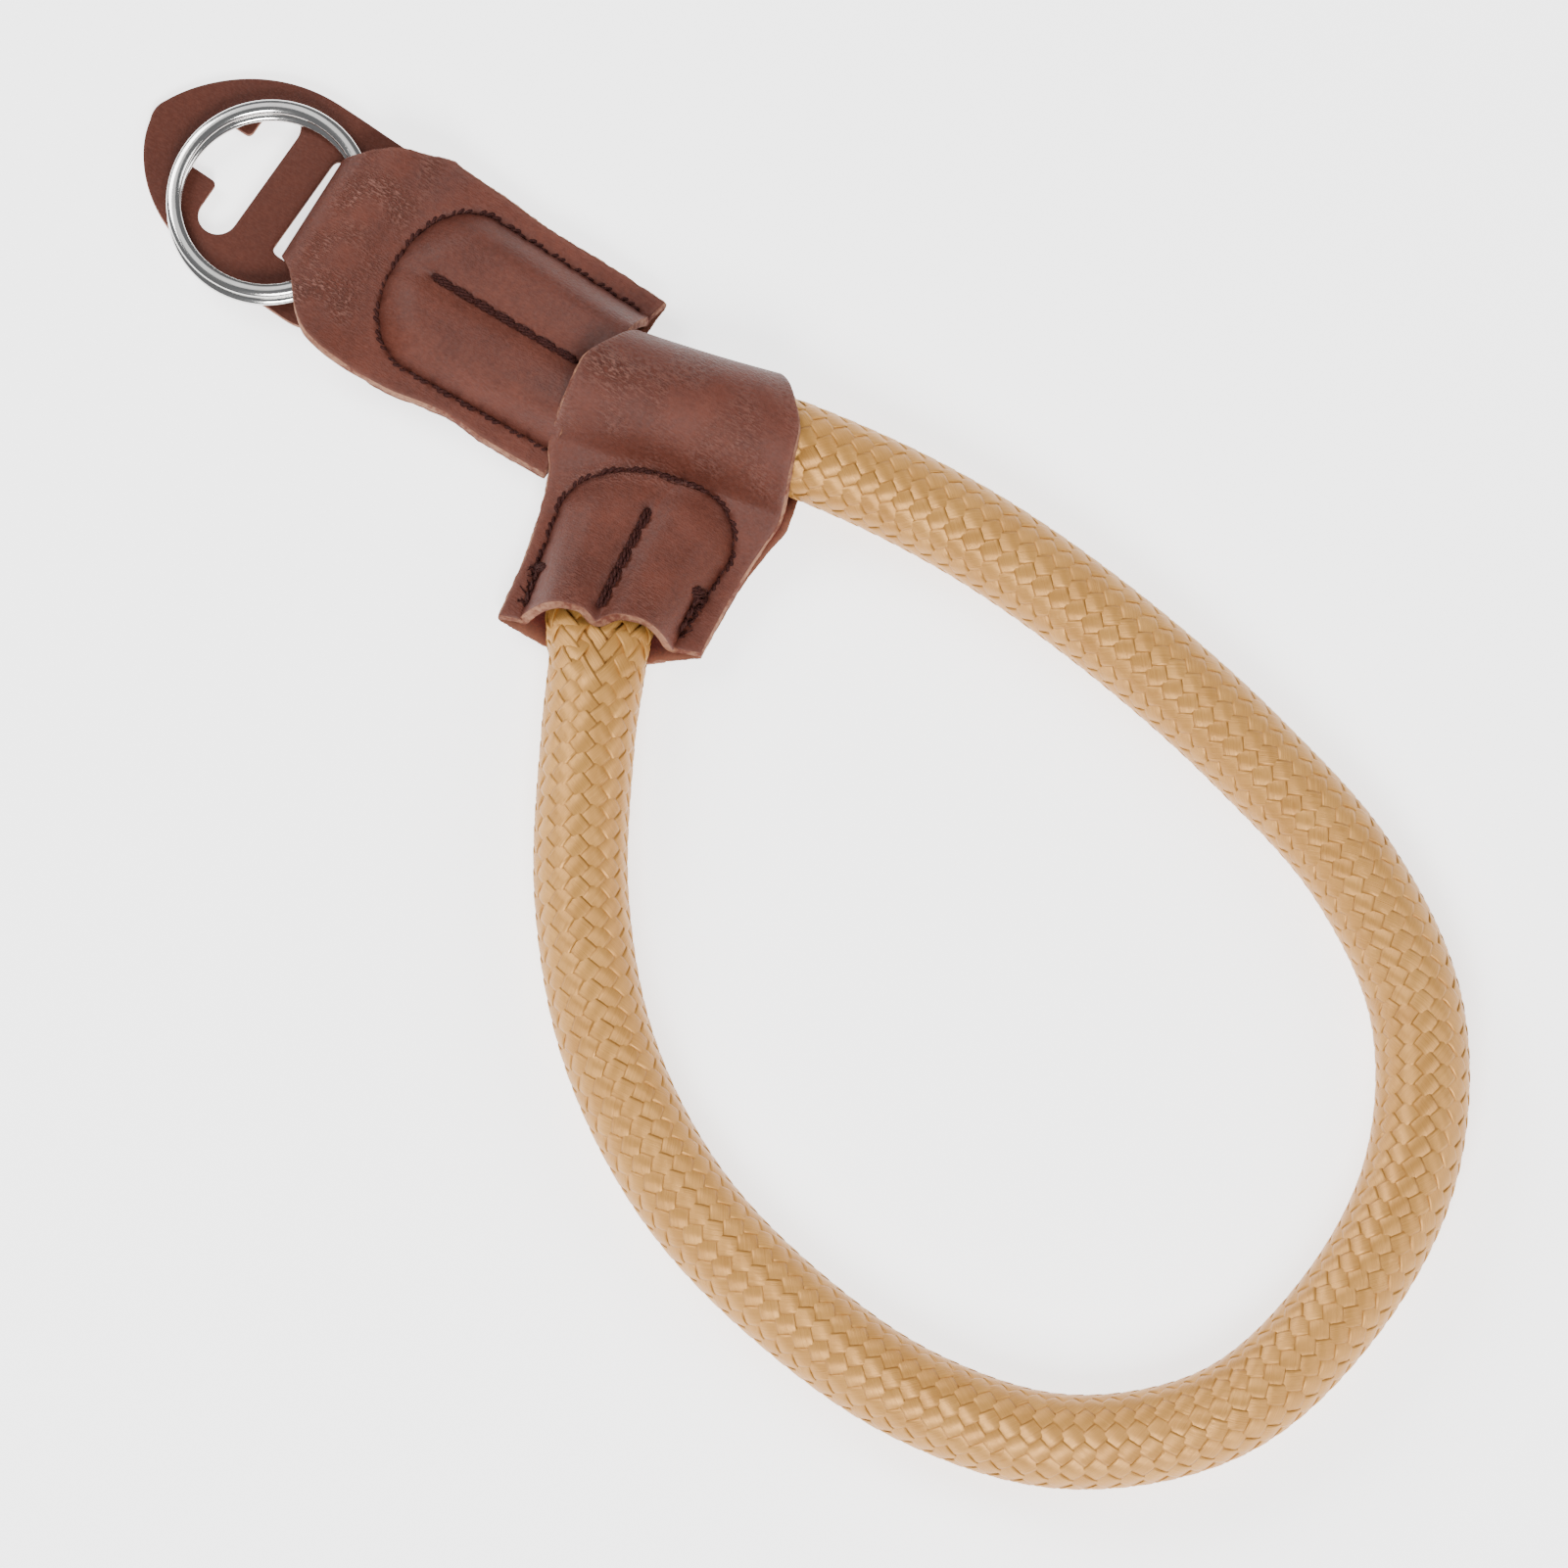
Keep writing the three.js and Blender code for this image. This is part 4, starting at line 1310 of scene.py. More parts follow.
@dataclass(frozen=True)
class Tab:
    """One strip of leather, folded through the guard and sewn over the rope's first end."""

    length: float = 43.3  # from the nose to the mouth
    upper_dip: float = 1.6  # how far the upper leaf draws back at the mouth
    lower_dip: float = 0.6
    tuck: float = 1.6  # how far the lower leaf's low edge draws back near the fold
    tuck_end: Point = (11.0, 19.0)  # x between which that dies away
    slant: float = 1.3  # how much shorter it is along its low edge
    nose_radius: float = 3.05  # half the height of the fold
    nose_depth: float = 2.3  # how far the fold stands out along x
    nose_x: float = 3.7
    half_width: float = 13.0  # about half the tab's width
    crest: float = 7.0  # mid-surface height over the ring
    crest_start: float = 7.0  # x where the leaf has come up to it
    crest_end: float = 7.6
    foot: Point = (0.4, 2.5)  # how far beyond the apex it comes down, and how much later at the edges
    apex: float = 13.3  # where the pocket's stitches come nearest to the nose
    rise: tuple[float, float] = (11.3, 14.0)  # where the lower leaf lifts to meet the upper one
    held_up: float = 0.9  # how much higher both leaves are sewn at the pocket's rounded end
    held_from: float = 9.5  # x where that begins in the upper leaf
    held_end: float = 22.0  # x where it has died away
    # Edges: x, low and high.
    edges: Rows = (
        (6.5, -12.9, 11.6), (9, -14.5, 12.4), (13, -15.1, 13.7), (20, -14.7, 13.6),
        (26, -13.7, 13.1), (29, -13.4, 13.0), (34, -13.8, 13.0), (43.3, -13.6, 12.7))
    # Edges round the nose: degrees above its middle, low and high.
    waist: Rows = (
        (-90, -7.6, 7.6), (-60, -6.6, 6.5), (-15, -6.6, 6.4), (10, -7.3, 6.9), (60, -8.3, 8.2),
        (90, -9.5, 9.7))
    pocket: Pocket = Pocket(half=10.5, mouth_half=9.8, round_end=7.7, length=29.5,
                            middle=((0, -0.4), (29.5, -0.3)), bulge=3.4, mouth_bulge=6.1,
                            groove=0.8, mouth_groove=1.0, groove_width=1.8)
    pitch: float = 3.35  # from hole to hole round the pocket
    centre_pitch: float = 2.9
    centre_row: tuple[Point, ...] = ((18.1, 0.0), (38.9, -0.4))
    columns: int = 116

    def seams(self) -> list[Seam]:
        """The rows of stitches.

        Returns:
            The row round the pocket and the row along its middle.
        """
        line = self.pocket.seam()[:, ::-1] + (self.apex, 0)
        line = line[line[:, 0] < self.length - 1.9]
        return [Seam(evenly(line, self.pitch)),
                Seam(evenly(np.array(self.centre_row), self.centre_pitch), doubled=True)]

    def held(self, x: np.ndarray) -> np.ndarray:
        """How much higher the leaves are sewn, dying away towards the mouth."""
        return self.held_up * (1 - smoothstep(x, self.apex, self.held_end))

    def upper(self, x: np.ndarray, y: np.ndarray) -> np.ndarray:
        """Mid-surface height of the upper leaf.

        Args:
            x: Distances from the nose.
            y: Places across the tab.

        Returns:
            The heights.
        """
        start = self.nose_radius * 2 + FLOOR_LEAF
        over_ring = start + (self.crest - start) * smoothstep(x, self.nose_x, self.crest_start)
        foot = self.apex + self.foot[0] + self.foot[1] * (y / self.half_width) ** 2
        ridge = over_ring + (UPPER_MARGIN - over_ring) * smoothstep(x, self.crest_end, foot)
        along = x - self.apex
        depth = self.pocket.depth(y, along)
        held_up = self.held(x) * smoothstep(x, self.held_from, self.apex)
        return ridge + held_up * (1 - self.pocket.climb(depth)) + self.pocket.height(y, along, depth)

    def lower(self, x: np.ndarray, y: np.ndarray) -> np.ndarray:
        """Mid-surface height of the lower leaf.

        Args:
            x: Distances from the nose.
            y: Places across the tab.

        Returns:
            The heights.
        """
        belly = self.pocket.climb(self.pocket.depth(y, x - self.apex))
        lift = smoothstep(x, *self.rise) * (1 - belly)
        return FLOOR_LEAF + (LOWER_MARGIN - FLOOR_LEAF + self.held(x)) * lift

    def leaf(self, x: np.ndarray, first: tuple[float, ...], height: Heights, dip: float, tuck: float,
             seams: list[Seam]) -> tuple[np.ndarray, np.ndarray]:
        """The mid-surface of one leaf.

        Args:
            x: The rows' distances from the nose.
            first: The first row of the table of edges.
            height: Gives the leaf's heights.
            dip: How far it draws back at the mouth.
            tuck: How far its low edge draws back near the fold.
            seams: The rows of stitches that mark it.

        Returns:
            The places, row by row, and the painted shade along the stitches.
        """
        low, high = edge_lines([first, *self.edges], x)
        low = low + tuck * smoothstep(x, self.nose_x, self.crest_start) * (1 - smoothstep(x, *self.tuck_end))
        y = between(low, high, self.columns)
        x = np.repeat(x[:, None], self.columns, 1)
        arch = dip * np.maximum(1 - (y / high[:, None]) ** 2, 0)
        slant = self.slant * np.clip(y / low[:, None], 0, 1)
        z = height(x, y)
        place = x - (arch + slant) * (x / self.length) ** 6
        dent, shade = drawn_in(np.stack([place, y], -1), seams)
        return np.stack([place, y, z - dent], -1), shade

    def build(self, wardrobe: Wardrobe) -> None:
        """Args:
            wardrobe: Where its materials come from.
        """
        seams = self.seams()
        nose_top = (self.nose_x, *self.waist[-1][1:])
        nose_foot = (self.nose_x, *self.waist[0][1:])
        upper, upper_shade = self.leaf(np.linspace(self.length, self.nose_x, 158), nose_top, self.upper,
                                       self.upper_dip, 0.0, seams)
        lower, lower_shade = self.leaf(np.linspace(self.nose_x, self.length, 56), nose_foot, self.lower,
                                       self.lower_dip, self.tuck, [])
        angle = np.linspace(90, -90, 26)[1:-1]
        turn = np.radians(angle)[:, None]
        y = between(*edge_lines(list(self.waist), angle), self.columns)
        nose = np.stack(np.broadcast_arrays(
            self.nose_x - self.nose_depth * np.cos(turn), y,
            FLOOR_LEAF + self.nose_radius * (1 + np.sin(turn))), -1)
        grid = np.concatenate([upper, nose, lower])
        grid[:len(upper), :, 2] += UNEVEN * wobble(upper, UNEVEN_SIZE, 3)
        shade = np.concatenate([upper_shade, np.zeros(nose.shape[:2]), lower_shade])
        # Creases, with their pale painted sheen, gather on the crest over the ring.
        crest = smoothstep(grid[..., 0], 2.0, 5.5) * (1 - smoothstep(grid[..., 0], 9.5, 13.0))
        wrinkle = np.clip(0.85 * crest * patches(grid, 5) + 0.10, 0, 1)
        sewing, thread = Draft(), Thread()
        thread.sew(sewing, leaf_reader(self.upper, 1, FOLD), seams)
        thread.sew(sewing, leaf_reader(self.lower, -1, FOLD), seams[:1])
        hand_over("tab", thicken(grid, shade, wrinkle, FOLD), sewing, wardrobe)


@dataclass(frozen=True)
class Keeper:
    """One strip of leather, wrapped round the passing rope and sewn over the rope's second end."""

    tunnel_height: float = 7.25
    tunnel_radius: float = 6.65
    flare: float = 0.8  # how far the tunnel stands wider at its end away from the tab
    leaves_tunnel: float = 118.0  # degrees round the tunnel at which the leather leaves it
    foot: float = -8.6  # y where it has come down to the sewn margin
    mouth: float = -29.0
    mouth_skew: float = 0.155
    upper_dip: float = 1.5
    lower_lip: float = 2.3
    pinch: float = 1.2  # how far the middle stitches hold the upper leaf's lip forward
    pinch_width: float = 1.5
    under_rows: int = 30  # rows of the bend that lie under the rope
    held_up: float = 2.6  # how much higher both leaves are sewn beside the tunnel
    held_end: float = -18.0  # y where that has died away
    held_power: float = 1.7  # how late it grows
    lean_in: Point = (6.3, 2.9)  # how the leather leaves the margin, in y and z
    lean_out: float = 12.5  # how straight it runs into the tunnel's round
    apex: float = -8.0  # y where the pocket's stitches come nearest to the tunnel
    # Edges: y, left and right.
    upper_edges: Rows = (
        (-29, -14.5, 10.5), (-22, -14.0, 11.3), (-17, -14.1, 12.1), (-12, -14.8, 13.3),
        (-8.9, -15.9, 14.1))
    lower_edges: Rows = (
        (-8.9, -13.6, 15.0), (-12.5, -13.8, 13.7), (-18, -13.8, 12.0), (-29, -14.4, 10.4))
    # Edges round the tunnel: degrees, left and right.
    wrap: Rows = (
        (90, -15.1, 13.2), (45, -12.0, 10.5), (0, -9.9, 8.0), (-45, -10.6, 11.8), (-90, -11.7, 14.4))
    pocket: Pocket = Pocket(half=10.5, mouth_half=8.8, round_end=7.6, length=21.0,
                            middle=((0, 0.6), (5, -0.8), (21, -2.6)), bulge=3.4, mouth_bulge=6.4,
                            groove=0.8, mouth_groove=1.7, groove_width=1.45)
    pitch: float = 3.6
    centre_pitch: float = 2.9
    centre_row: tuple[Point, ...] = ((-1.7, -13.1), (-3.2, -26.9))
    # Where the thread doubles back to the mouth on each side, and where it stops.
    tails: tuple[tuple[Point, ...], ...] = (
        ((-11.2, -24.0), (-11.2, -28.4)), ((7.4, -20.6), (6.7, -25.4)))
    # The threads over a tack: how far along the leaf each sits, and half its length.
    tack_threads: tuple[Point, ...] = ((-0.55, 0.7), (-0.2, 0.9), (0.15, 1.0), (0.5, 0.75))
    # Loose fibres: the share of the way to the tail's end, their length and how many.
    frays: tuple[tuple[float, float, int], ...] = (
        (0.0, 0.8, 12), (0.25, 0.5, 5), (0.5, 0.5, 5), (0.75, 0.5, 5), (1.0, 0.6, 8))
    columns: int = 108

    def seams(self) -> list[Seam]:
        """The rows of stitches.

        Returns:
            The row round the pocket and the row along its middle.
        """
        line = self.pocket.seam() * (1, -1) + (0, self.apex)
        on_left = line[:, 0] < self.pocket.middle_at(self.apex - line[:, 1])
        line = line[line[:, 1] > np.where(on_left, self.tails[0][0][1], self.tails[1][0][1])]
        rows = [Seam(evenly(line, self.pitch)),
                Seam(evenly(np.array(self.centre_row), self.centre_pitch), doubled=True)]
        return rows + [Seam(evenly(np.array(tail), 1.7), doubled=True) for tail in self.tails]

    def held(self, y: np.ndarray) -> np.ndarray:
        """How much higher the leaves are sewn, growing towards the tunnel."""
        share = np.clip((y - self.held_end) / (self.foot - self.held_end), 0, 1)
        return self.held_up * share ** self.held_power

    def upper(self, x: np.ndarray, y: np.ndarray) -> np.ndarray:
        """Mid-surface height of the upper leaf.

        Args:
            x: Places across the leaf.
            y: Places along it.

        Returns:
            The heights.
        """
        along = self.apex - y
        depth = self.pocket.depth(x, along)
        slope = np.vstack([[self.foot, UPPER_MARGIN + self.held_up], self.bend()[0][:20]])
        climb = np.interp(y, slope[:, 0], slope[:, 1]) - slope[0, 1]
        held_up = self.held(y) * (1 - self.pocket.climb(depth))
        return UPPER_MARGIN + held_up + climb + self.pocket.height(x, along, depth)

    def lower(self, x: np.ndarray, y: np.ndarray) -> np.ndarray:
        """Mid-surface height of the lower leaf.

        Args:
            x: Places across the leaf.
            y: Places along it.

        Returns:
            The heights.
        """
        belly = self.pocket.climb(self.pocket.depth(x, self.apex - y))
        lift = smoothstep(-y, 1.5, -self.foot) * (1 - belly)
        return FLOOR_LEAF + (LOWER_MARGIN - FLOOR_LEAF + self.held(y)) * lift

    def bend(self) -> tuple[np.ndarray, np.ndarray]:
        """The strip's side view from the sewn margin over the tunnel and under the rope.

        Returns:
            The y and z of each row, and its angle round the tunnel, or nan before the round part.
        """
        start = np.array([self.foot, UPPER_MARGIN + self.held_up])
        turn = math.radians(self.leaves_tunnel)
        end = np.array([self.tunnel_radius * math.cos(turn),
                        self.tunnel_height + self.tunnel_radius * math.sin(turn)])
        lean_out = self.lean_out * np.array([math.sin(turn), -math.cos(turn)])
        slope = eased(start, end, np.array(self.lean_in), lean_out, np.linspace(0, 1, 44)[1:-1, None])
        angle = np.radians(np.linspace(self.leaves_tunnel, -90, 76))
        loop = np.stack([self.tunnel_radius * np.cos(angle),
                         self.tunnel_height + self.tunnel_radius * np.sin(angle)], -1)
        return np.concatenate([slope, loop]), np.concatenate([np.full(len(slope), np.nan), angle])

    def leaf(self, y: np.ndarray, left: np.ndarray, right: np.ndarray, is_upper: bool,
             seams: list[Seam]) -> tuple[np.ndarray, np.ndarray]:
        """The mid-surface of one leaf.

        Args:
            y: The rows' places.
            left: The left edge at each row.
            right: The right edge at each row.
            is_upper: Whether it is the upper leaf.
            seams: The rows of stitches that mark it.

        Returns:
            The places, row by row, and the painted shade along the stitches.
        """
        share = np.linspace(0, 1, self.columns)
        seam_y = self.upper_edges[-1][0]
        towards = np.clip((seam_y - y) / (seam_y - self.mouth), 0, 1)[:, None]
        x = between(left, right, self.columns)
        if is_upper:
            along = np.repeat((self.apex - y)[:, None], self.columns, 1)
            held = np.exp(-(((x - self.pocket.middle_at(along)) / self.pinch_width) ** 2))
            raised = self.pocket.climb(self.pocket.depth(x, along))
            drawn = (self.upper_dip * raised - self.pinch * held) * towards ** 6
        else:
            drawn = -self.lower_lip * (1 - (2 * share - 1) ** 2) * towards ** 5
        slant = self.mouth_skew * (x - ((left + right) / 2)[:, None]) * towards ** 2
        place = y[:, None] + drawn + slant
        z = self.upper(x, place) if is_upper else self.lower(x, place)
        dent, shade = drawn_in(np.stack([x, place], -1), seams)
        return np.stack([x, place, z - dent], -1), shade

    def sewing(self, seams: list[Seam]) -> Draft:
        """The rows of stitches, with the tacks at the mouth and their loose fibres.

        Args:
            seams: The rows.

        Returns:
            The mesh in the making.
        """
        draft, thread, leaf = Draft(), Thread(), leaf_reader(self.upper, 1, KEEPER)
        thread.sew(draft, leaf, seams)
        for tack, stop in np.array(self.tails):
            for drop, reach in self.tack_threads:
                thread.stitch(draft, leaf, tack + (-reach, drop), tack + (reach, 0.6 * drop), 0.05, 1.1)
            for share, reach, count in self.frays:
                knot, normal = leaf((tack + share * (stop - tack))[None])
                thread.fray(draft, knot[0] + normal[0] * 0.3, normal[0], reach, count)
        thread.sew(draft, leaf_reader(self.lower, -1, KEEPER), seams[:1])
        return draft

    def build(self, wardrobe: Wardrobe) -> None:
        """Args:
            wardrobe: Where its materials come from.
        """
        seams = self.seams()
        bend, angles = self.bend()
        upper_y = np.linspace(self.mouth, self.foot, 86)
        lower_y = np.linspace(0, self.mouth, 60)[1:]
        first, last = len(upper_y), len(upper_y) + len(bend)
        bend_at = (self.foot - self.mouth
                   + lengths(np.vstack([[self.foot, UPPER_MARGIN + self.held_up], bend]))[1:])
        rows_at = np.concatenate([upper_y - self.mouth, bend_at, bend_at[-1] - lower_y])
        is_round = ~np.isnan(angles)
        turns, turns_at = -np.degrees(angles[is_round]), bend_at[is_round]
        table = [(y - self.mouth, *edges) for y, *edges in self.upper_edges]
        table += [(float(np.interp(-turn, turns, turns_at)), *edges) for turn, *edges in self.wrap]
        table += [(float(bend_at[-1]) - y, *edges) for y, *edges in self.lower_edges]
        left, right = edge_lines(table, rows_at)
        upper, upper_shade = self.leaf(upper_y, left[:first], right[:first], True, seams)
        lower, lower_shade = self.leaf(lower_y, left[last:], right[last:], False, [])
        share = np.linspace(0, 1, self.columns)
        x = between(left[first:last], right[first:last], self.columns)
        y = np.repeat(bend[:, :1], self.columns, 1)
        along = self.apex - y
        z = bend[:, 1:] + self.pocket.height(x, along, self.pocket.depth(x, along))
        out = np.maximum(np.cos(np.nan_to_num(angles, nan=math.pi)), 0)[:, None]
        dent, shade = drawn_in(np.stack([x, y], -1), seams)
        high = ((bend[:, 1] > UPPER_MARGIN + self.held_up + 2.0) | (bend[:, 0] > -6))[:, None]
        z = z - np.where(high, 0, dent)
        middle = np.stack([x, y + self.flare * out * share ** 2, z], -1)
        grid = np.concatenate([upper, middle, lower])
        shade = np.concatenate([upper_shade, np.where(high, 0, shade), lower_shade])
        seen = grid[:last - self.under_rows]
        seen[..., 2] += UNEVEN * wobble(seen, UNEVEN_SIZE, 9)
        top = smoothstep(grid[..., 2], 7.5, 10.5)
        x, y = grid[..., 0], grid[..., 1]
        # Creases, with their pale painted sheen, gather on the higher parts, most at the corner by the tab,
        # and along the foot of the tunnel.
        corner = np.exp(-(((x + 11) / 3.2) ** 2 + ((y - 0.3) / 1.8) ** 2))
        ridge = np.exp(-(((x + 6) / 5.5) ** 2 + ((y + 8.3 + 0.03 * x * x) / 1.3) ** 2))
        wrinkle = np.clip(0.25 * top * patches(grid, 15) + 0.8 * corner * top + 0.7 * ridge + 0.08, 0, 1)
        hand_over("keeper", thicken(grid, shade, wrinkle, KEEPER), self.sewing(seams), wardrobe)


@dataclass(frozen=True)
class Guard:
    """The flat leather plate under the ring, with a slit for the tab and a slot for an eyelet."""

    tip: float = -22.4
    rear: float = 10.6
    low: float = -12.9
    high: float = 12.8
    corner: float = 5.0
    ramp: tuple[float, float] = (-18.0, -1.0)  # it climbs from the surface onto the tab's lower leaf
    climb: float = 1.5
    slit: tuple[float, float, float, float] = (-0.45, 3.5, -7.0, 7.1)  # left, right, low and high
    slot: tuple[float, float, float, float] = (-10.75, -5.9, -9.2, 8.9)  # left, right, low and high
    notch: tuple[float, float, float] = (-15.4, 3.5, 1.6)  # its end, half its width and its corners
    edge_round: float = 0.16

    @staticmethod
    def curve(start: Point, first: Point, second: Point, end: Point, steps: int) -> list[Point]:
        """Points of a cubic curve, without its last.

        Args:
            start: Where it starts.
            first: Its first handle.
            second: Its second handle.
            end: Where it ends.
            steps: How many points.

        Returns:
            The points.
        """
        t = np.linspace(0, 1, steps, endpoint=False)[:, None]
        start, first, second, end = (np.array(point, float) for point in (start, first, second, end))
        points = (start * (1 - t) ** 3 + 3 * first * t * (1 - t) ** 2 + 3 * second * t ** 2 * (1 - t)
                  + end * t ** 3)
        return [tuple(point) for point in points]

    def rounded(self, corner: Point, before: Point, after: Point, steps: int) -> list[Point]:
        """Points round a corner, from one of its ends to the other."""
        handles = [tuple(e + (c - e) * 2 / 3 for e, c in zip(end, corner)) for end in (before, after)]
        return self.curve(before, *handles, after, steps)

    def outline(self) -> list[Point]:
        """The plate's outline.

        Returns:
            Its points in order.
        """
        r, low, high, rear, tip = self.corner, self.low, self.high, self.rear, self.tip
        return [
            *self.rounded((rear, high), (rear, high - r), (rear - r, high), 14),
            *self.curve((rear - r, high), (3, high), (-1, high), (-4, high), 10),
            *self.curve((-4, high), (-13.4, high), (-19.6, 6.6), (tip + 0.5, 1.4), 34),
            *self.rounded((tip - 0.3, 0), (tip + 0.5, 1.4), (tip + 0.4, -1.6), 10),
            *self.curve((tip + 0.4, -1.6), (-20.7, -7.5), (-13.8, low), (-4, low), 34),
            *self.curve((-4, low), (-1, low), (3, low), (rear - r, low), 10),
            *self.rounded((rear, low), (rear - r, low), (rear, low + r), 14),
            *self.curve((rear, low + r), (rear, -3), (rear, 3), (rear, high - r), 12),
        ]

    def slit_line(self) -> list[Point]:
        """The slit that the tab passes through.

        Returns:
            Its points in order.
        """
        left, right, low, high = self.slit
        soft = 1.1
        return [
            *self.rounded((left, low), (left + soft, low), (left, low + soft), 5),
            *self.rounded((left, high), (left, high - soft), (left + soft, high), 5),
            (right, high), (right, low),
        ]

    def slot_line(self) -> list[Point]:
        """The slot for an eyelet, with its notch towards the tip.

        Returns:
            Its points in order.
        """
        left, right, low, high = self.slot
        end, half, corner = self.notch
        radius, middle = (right - left) / 2, (right + left) / 2
        turn = np.linspace(0, math.pi, 18)
        top = [(middle + radius * math.cos(a), high - radius + radius * math.sin(a)) for a in turn]
        foot = [(middle - radius * math.cos(a), low + radius - radius * math.sin(a)) for a in turn]
        ease = 0.8
        return [
            *top,
            *self.rounded((left, half), (left, half + ease), (left - ease, half), 5),
            *self.rounded((end, half), (end + corner, half), (end, half - corner), 7),
            *self.rounded((end, -half), (end, -half + corner), (end + corner, -half), 7),
            *self.rounded((left, -half), (left - ease, -half), (left, -half - ease), 5),
            *foot,
        ]

    def build(self, wardrobe: Wardrobe) -> None:
        """Args:
            wardrobe: Where its materials come from.
        """
        curve = bpy.data.curves.new("guard_leather", "CURVE")
        curve.dimensions = "2D"
        curve.fill_mode = "BOTH"
        curve.extrude = HALF_LEATHER - self.edge_round
        curve.bevel_depth = self.edge_round
        curve.bevel_resolution = 2
        curve.offset = -self.edge_round
        for line in (self.outline(), self.slit_line(), self.slot_line()):
            spline = curve.splines.new("POLY")
            spline.points.add(len(line) - 1)
            spline.points.foreach_set("co", [value for x, y in line for value in (x, y, 0, 1)])
            spline.use_cyclic_u = True
        plate = bpy.data.objects.new("guard_leather", curve)
        bpy.context.scene.collection.objects.link(plate)
        only(plate)
        bpy.ops.object.convert(target="MESH")
        bpy.ops.object.mode_set(mode="EDIT")
        bpy.ops.mesh.select_all(action="SELECT")
        bpy.ops.mesh.remove_doubles(threshold=0.0005)
        for way, cuts in (((1, 0, 0), np.arange(-21, 10.5, 1.25)), ((0, 1, 0), np.arange(-12, 12.2, 1.5))):
            for cut in cuts:
                bpy.ops.mesh.select_all(action="SELECT")
                bpy.ops.mesh.bisect(plane_co=Vector(way) * cut, plane_no=way)
        bpy.ops.mesh.select_all(action="SELECT")
        bpy.ops.mesh.normals_make_consistent(inside=False)
        bpy.ops.object.mode_set(mode="OBJECT")
        mesh = plate.data
        points = np.zeros(len(mesh.vertices) * 3)
        mesh.vertices.foreach_get("co", points)
        points = points.reshape(-1, 3)
        share = smoothstep(points[:, 0], self.ramp[0] - 1.5, self.ramp[1] + 1.5)
        ramp = np.clip((points[:, 0] - self.ramp[0]) / (self.ramp[1] - self.ramp[0]), 0, 1)
        lift = self.climb * (0.5 * share + 0.5 * ramp)
        uneven = 0.03 * (wobble(points * (1, 1, 0), 9.0, 21) + 1) * ramp
        points[:, 2] += HALF_LEATHER + 0.02 + lift + uneven
        mesh.vertices.foreach_set("co", (GUARD.out(points) * MM).ravel())
        mesh.update()
        for material in wardrobe.get(Finish.GUARD, Finish.RAW_EDGE, Finish.SUEDE):
            mesh.materials.append(material)
        for face in mesh.polygons:
            face.use_smooth = True
            face.material_index = 0 if face.normal.z > 0.55 else 2 if face.normal.z < -0.55 else 1
        bpy.ops.object.shade_smooth_by_angle(angle=math.radians(50))
        # No painted stitch shade and no rim wear; a little of the creases' pale painted sheen.
        for name, value in (("drawn", 0.0), ("wrinkle", 0.1), ("rim", 0.0)):
            mesh.attributes.new(name, "FLOAT", "POINT").data.foreach_set("value", [value] * len(points))
        reckon(plate, "strap", "guard_leather", "leather_guard")


def only(piece: bpy.types.Object) -> None:
    """Selects one object and makes it active.

    Args:
        piece: The object.
    """
    bpy.ops.object.select_all(action="DESELECT")
    bpy.context.view_layer.objects.active = piece
    piece.select_set(True)


# ---------------------------------------------------------------- split ring


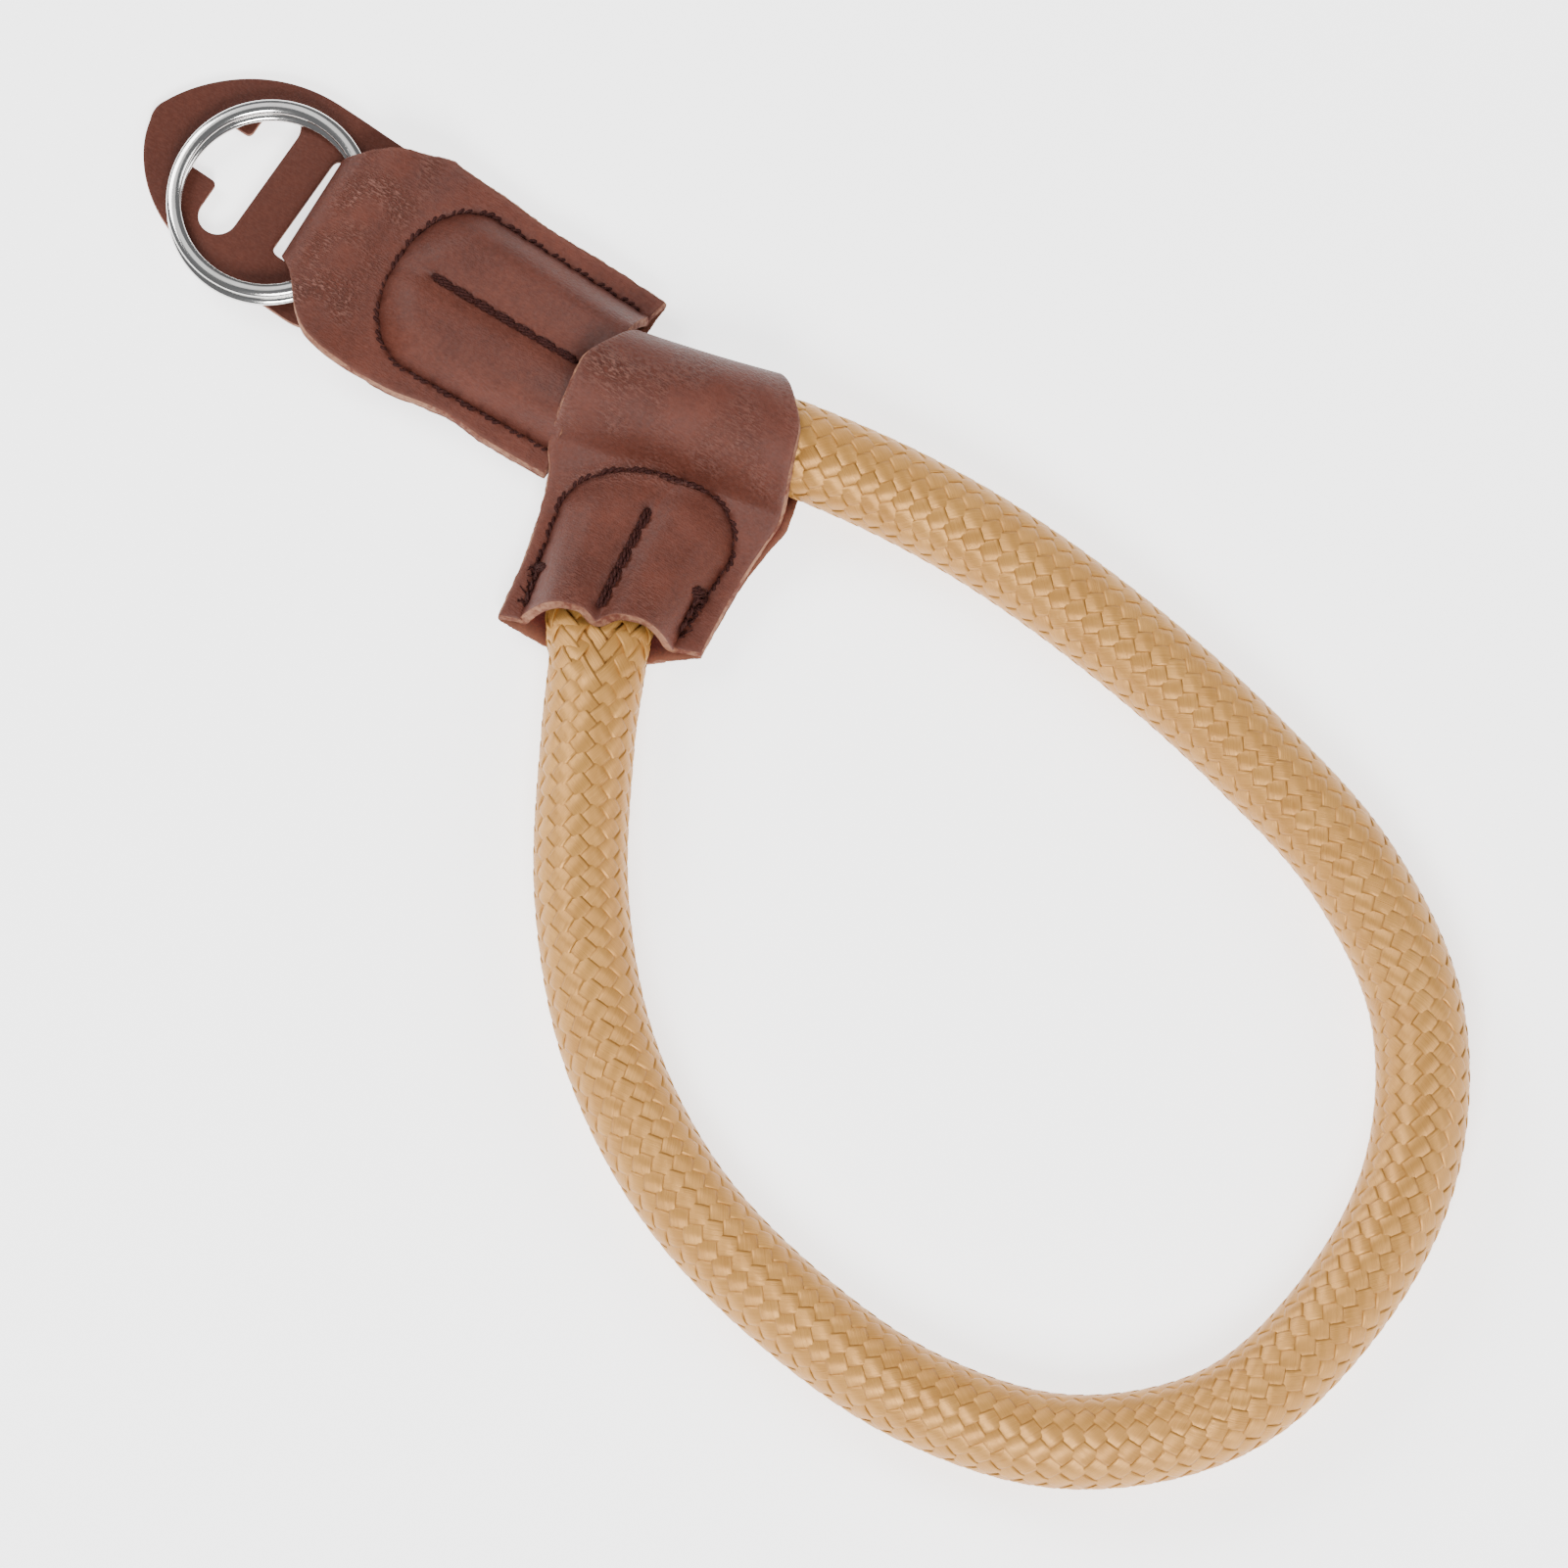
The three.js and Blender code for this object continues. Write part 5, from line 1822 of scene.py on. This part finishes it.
@dataclass(frozen=True)
class SplitRing:
    """A split ring: two turns of flattened wire, one on the other, a little out of line."""

    diameter: float = 25.0
    wire_width: float = 1.8
    wire_height: float = 1.0
    pitch: float = 1.15  # from one turn to the next
    shift: tuple[float, float] = (-0.16, 0.26)  # how far each turn sits to one side of the middle
    end: float = 12.0  # degrees from the tab at which each end of the wire stops
    tilt: float = -5.0  # degrees about y
    steps: int = 112  # in one turn
    jog_steps: int = 14

    def build(self, wardrobe: Wardrobe, centre: Vector) -> None:
        """Adds the ring.

        Args:
            wardrobe: Where its material comes from.
            centre: The ring's foot in the middle, in metres.
        """
        radius = (self.diameter - self.wire_width) / 2
        bpy.ops.mesh.primitive_circle_add(vertices=18, radius=0.5, fill_type="NOTHING",
                                          rotation=(math.pi / 2, 0, 0))
        wire = bpy.context.object
        wire.name = wire.data.name = "ring_coils"
        bpy.ops.object.transform_apply(location=True, rotation=True, scale=True)
        only(wire)
        bpy.ops.object.mode_set(mode="EDIT")
        bpy.ops.mesh.select_all(action="SELECT")
        bpy.ops.transform.resize(value=(self.wire_width, 1, self.wire_height))
        bpy.ops.transform.translate(value=(radius, 0, self.wire_height / 2))
        bpy.ops.transform.rotate(value=math.radians(self.end), orient_axis="Z",
                                 center_override=(0, 0, 0))
        sweep = 2 * math.pi - 2 * math.radians(self.end)
        bpy.ops.mesh.spin(steps=self.steps, angle=sweep, center=(0, 0, 0), axis=(0, 0, 1))
        turn = 2 * math.radians(self.end) / self.jog_steps
        whole = 2 * Vector((*self.shift, self.pitch / 2))
        climbed = [whole * float(share) for share in smoothstep(np.linspace(0, 1, self.jog_steps + 1), 0, 1)]
        for before, after in zip(climbed[:-1], climbed[1:]):
            bpy.ops.mesh.extrude_region()
            bpy.ops.transform.rotate(value=turn, orient_axis="Z", center_override=before)
            bpy.ops.transform.translate(value=after - before)
        bpy.ops.mesh.spin(steps=self.steps, angle=sweep, center=(whole.x, whole.y, 0), axis=(0, 0, 1))
        bpy.ops.mesh.select_all(action="DESELECT")
        bpy.ops.mesh.select_mode(type="EDGE")
        bpy.ops.mesh.select_non_manifold()
        bpy.ops.mesh.edge_face_add()
        bpy.ops.mesh.select_all(action="SELECT")
        bpy.ops.mesh.normals_make_consistent(inside=False)
        bpy.ops.object.mode_set(mode="OBJECT")
        lean = Matrix.Rotation(math.radians(self.tilt), 4, "Y") @ Matrix.Scale(MM, 4)
        middle = Matrix.Translation((-self.shift[0], -self.shift[1], 0))
        wire.data.transform(Matrix.Translation(centre) @ lean @ middle)
        only(wire)
        bpy.ops.object.shade_smooth_by_angle(angle=math.radians(40))
        wire.data.materials.append(wardrobe.get(Finish.STEEL)[0])
        reckon(wire, "ring", "ring_steel", "split_ring")


# ---------------------------------------------------------------- scene


def main() -> None:
    """Builds the strap in its studio."""
    logging.basicConfig(level=logging.INFO, format="%(message)s")
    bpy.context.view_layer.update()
    studio = Studio()
    studio.shoot()
    wardrobe = Wardrobe()
    Rope().build(wardrobe)
    Guard().build(wardrobe)
    spin = next(joint for joint in frame["joints"] if joint["name"] == "ring_spin")
    SplitRing().build(wardrobe, Vector(spin["pos_m"]))
    Tab().build(wardrobe)
    Keeper().build(wardrobe)
    studio.light()


if __name__ == "__main__":
    main()
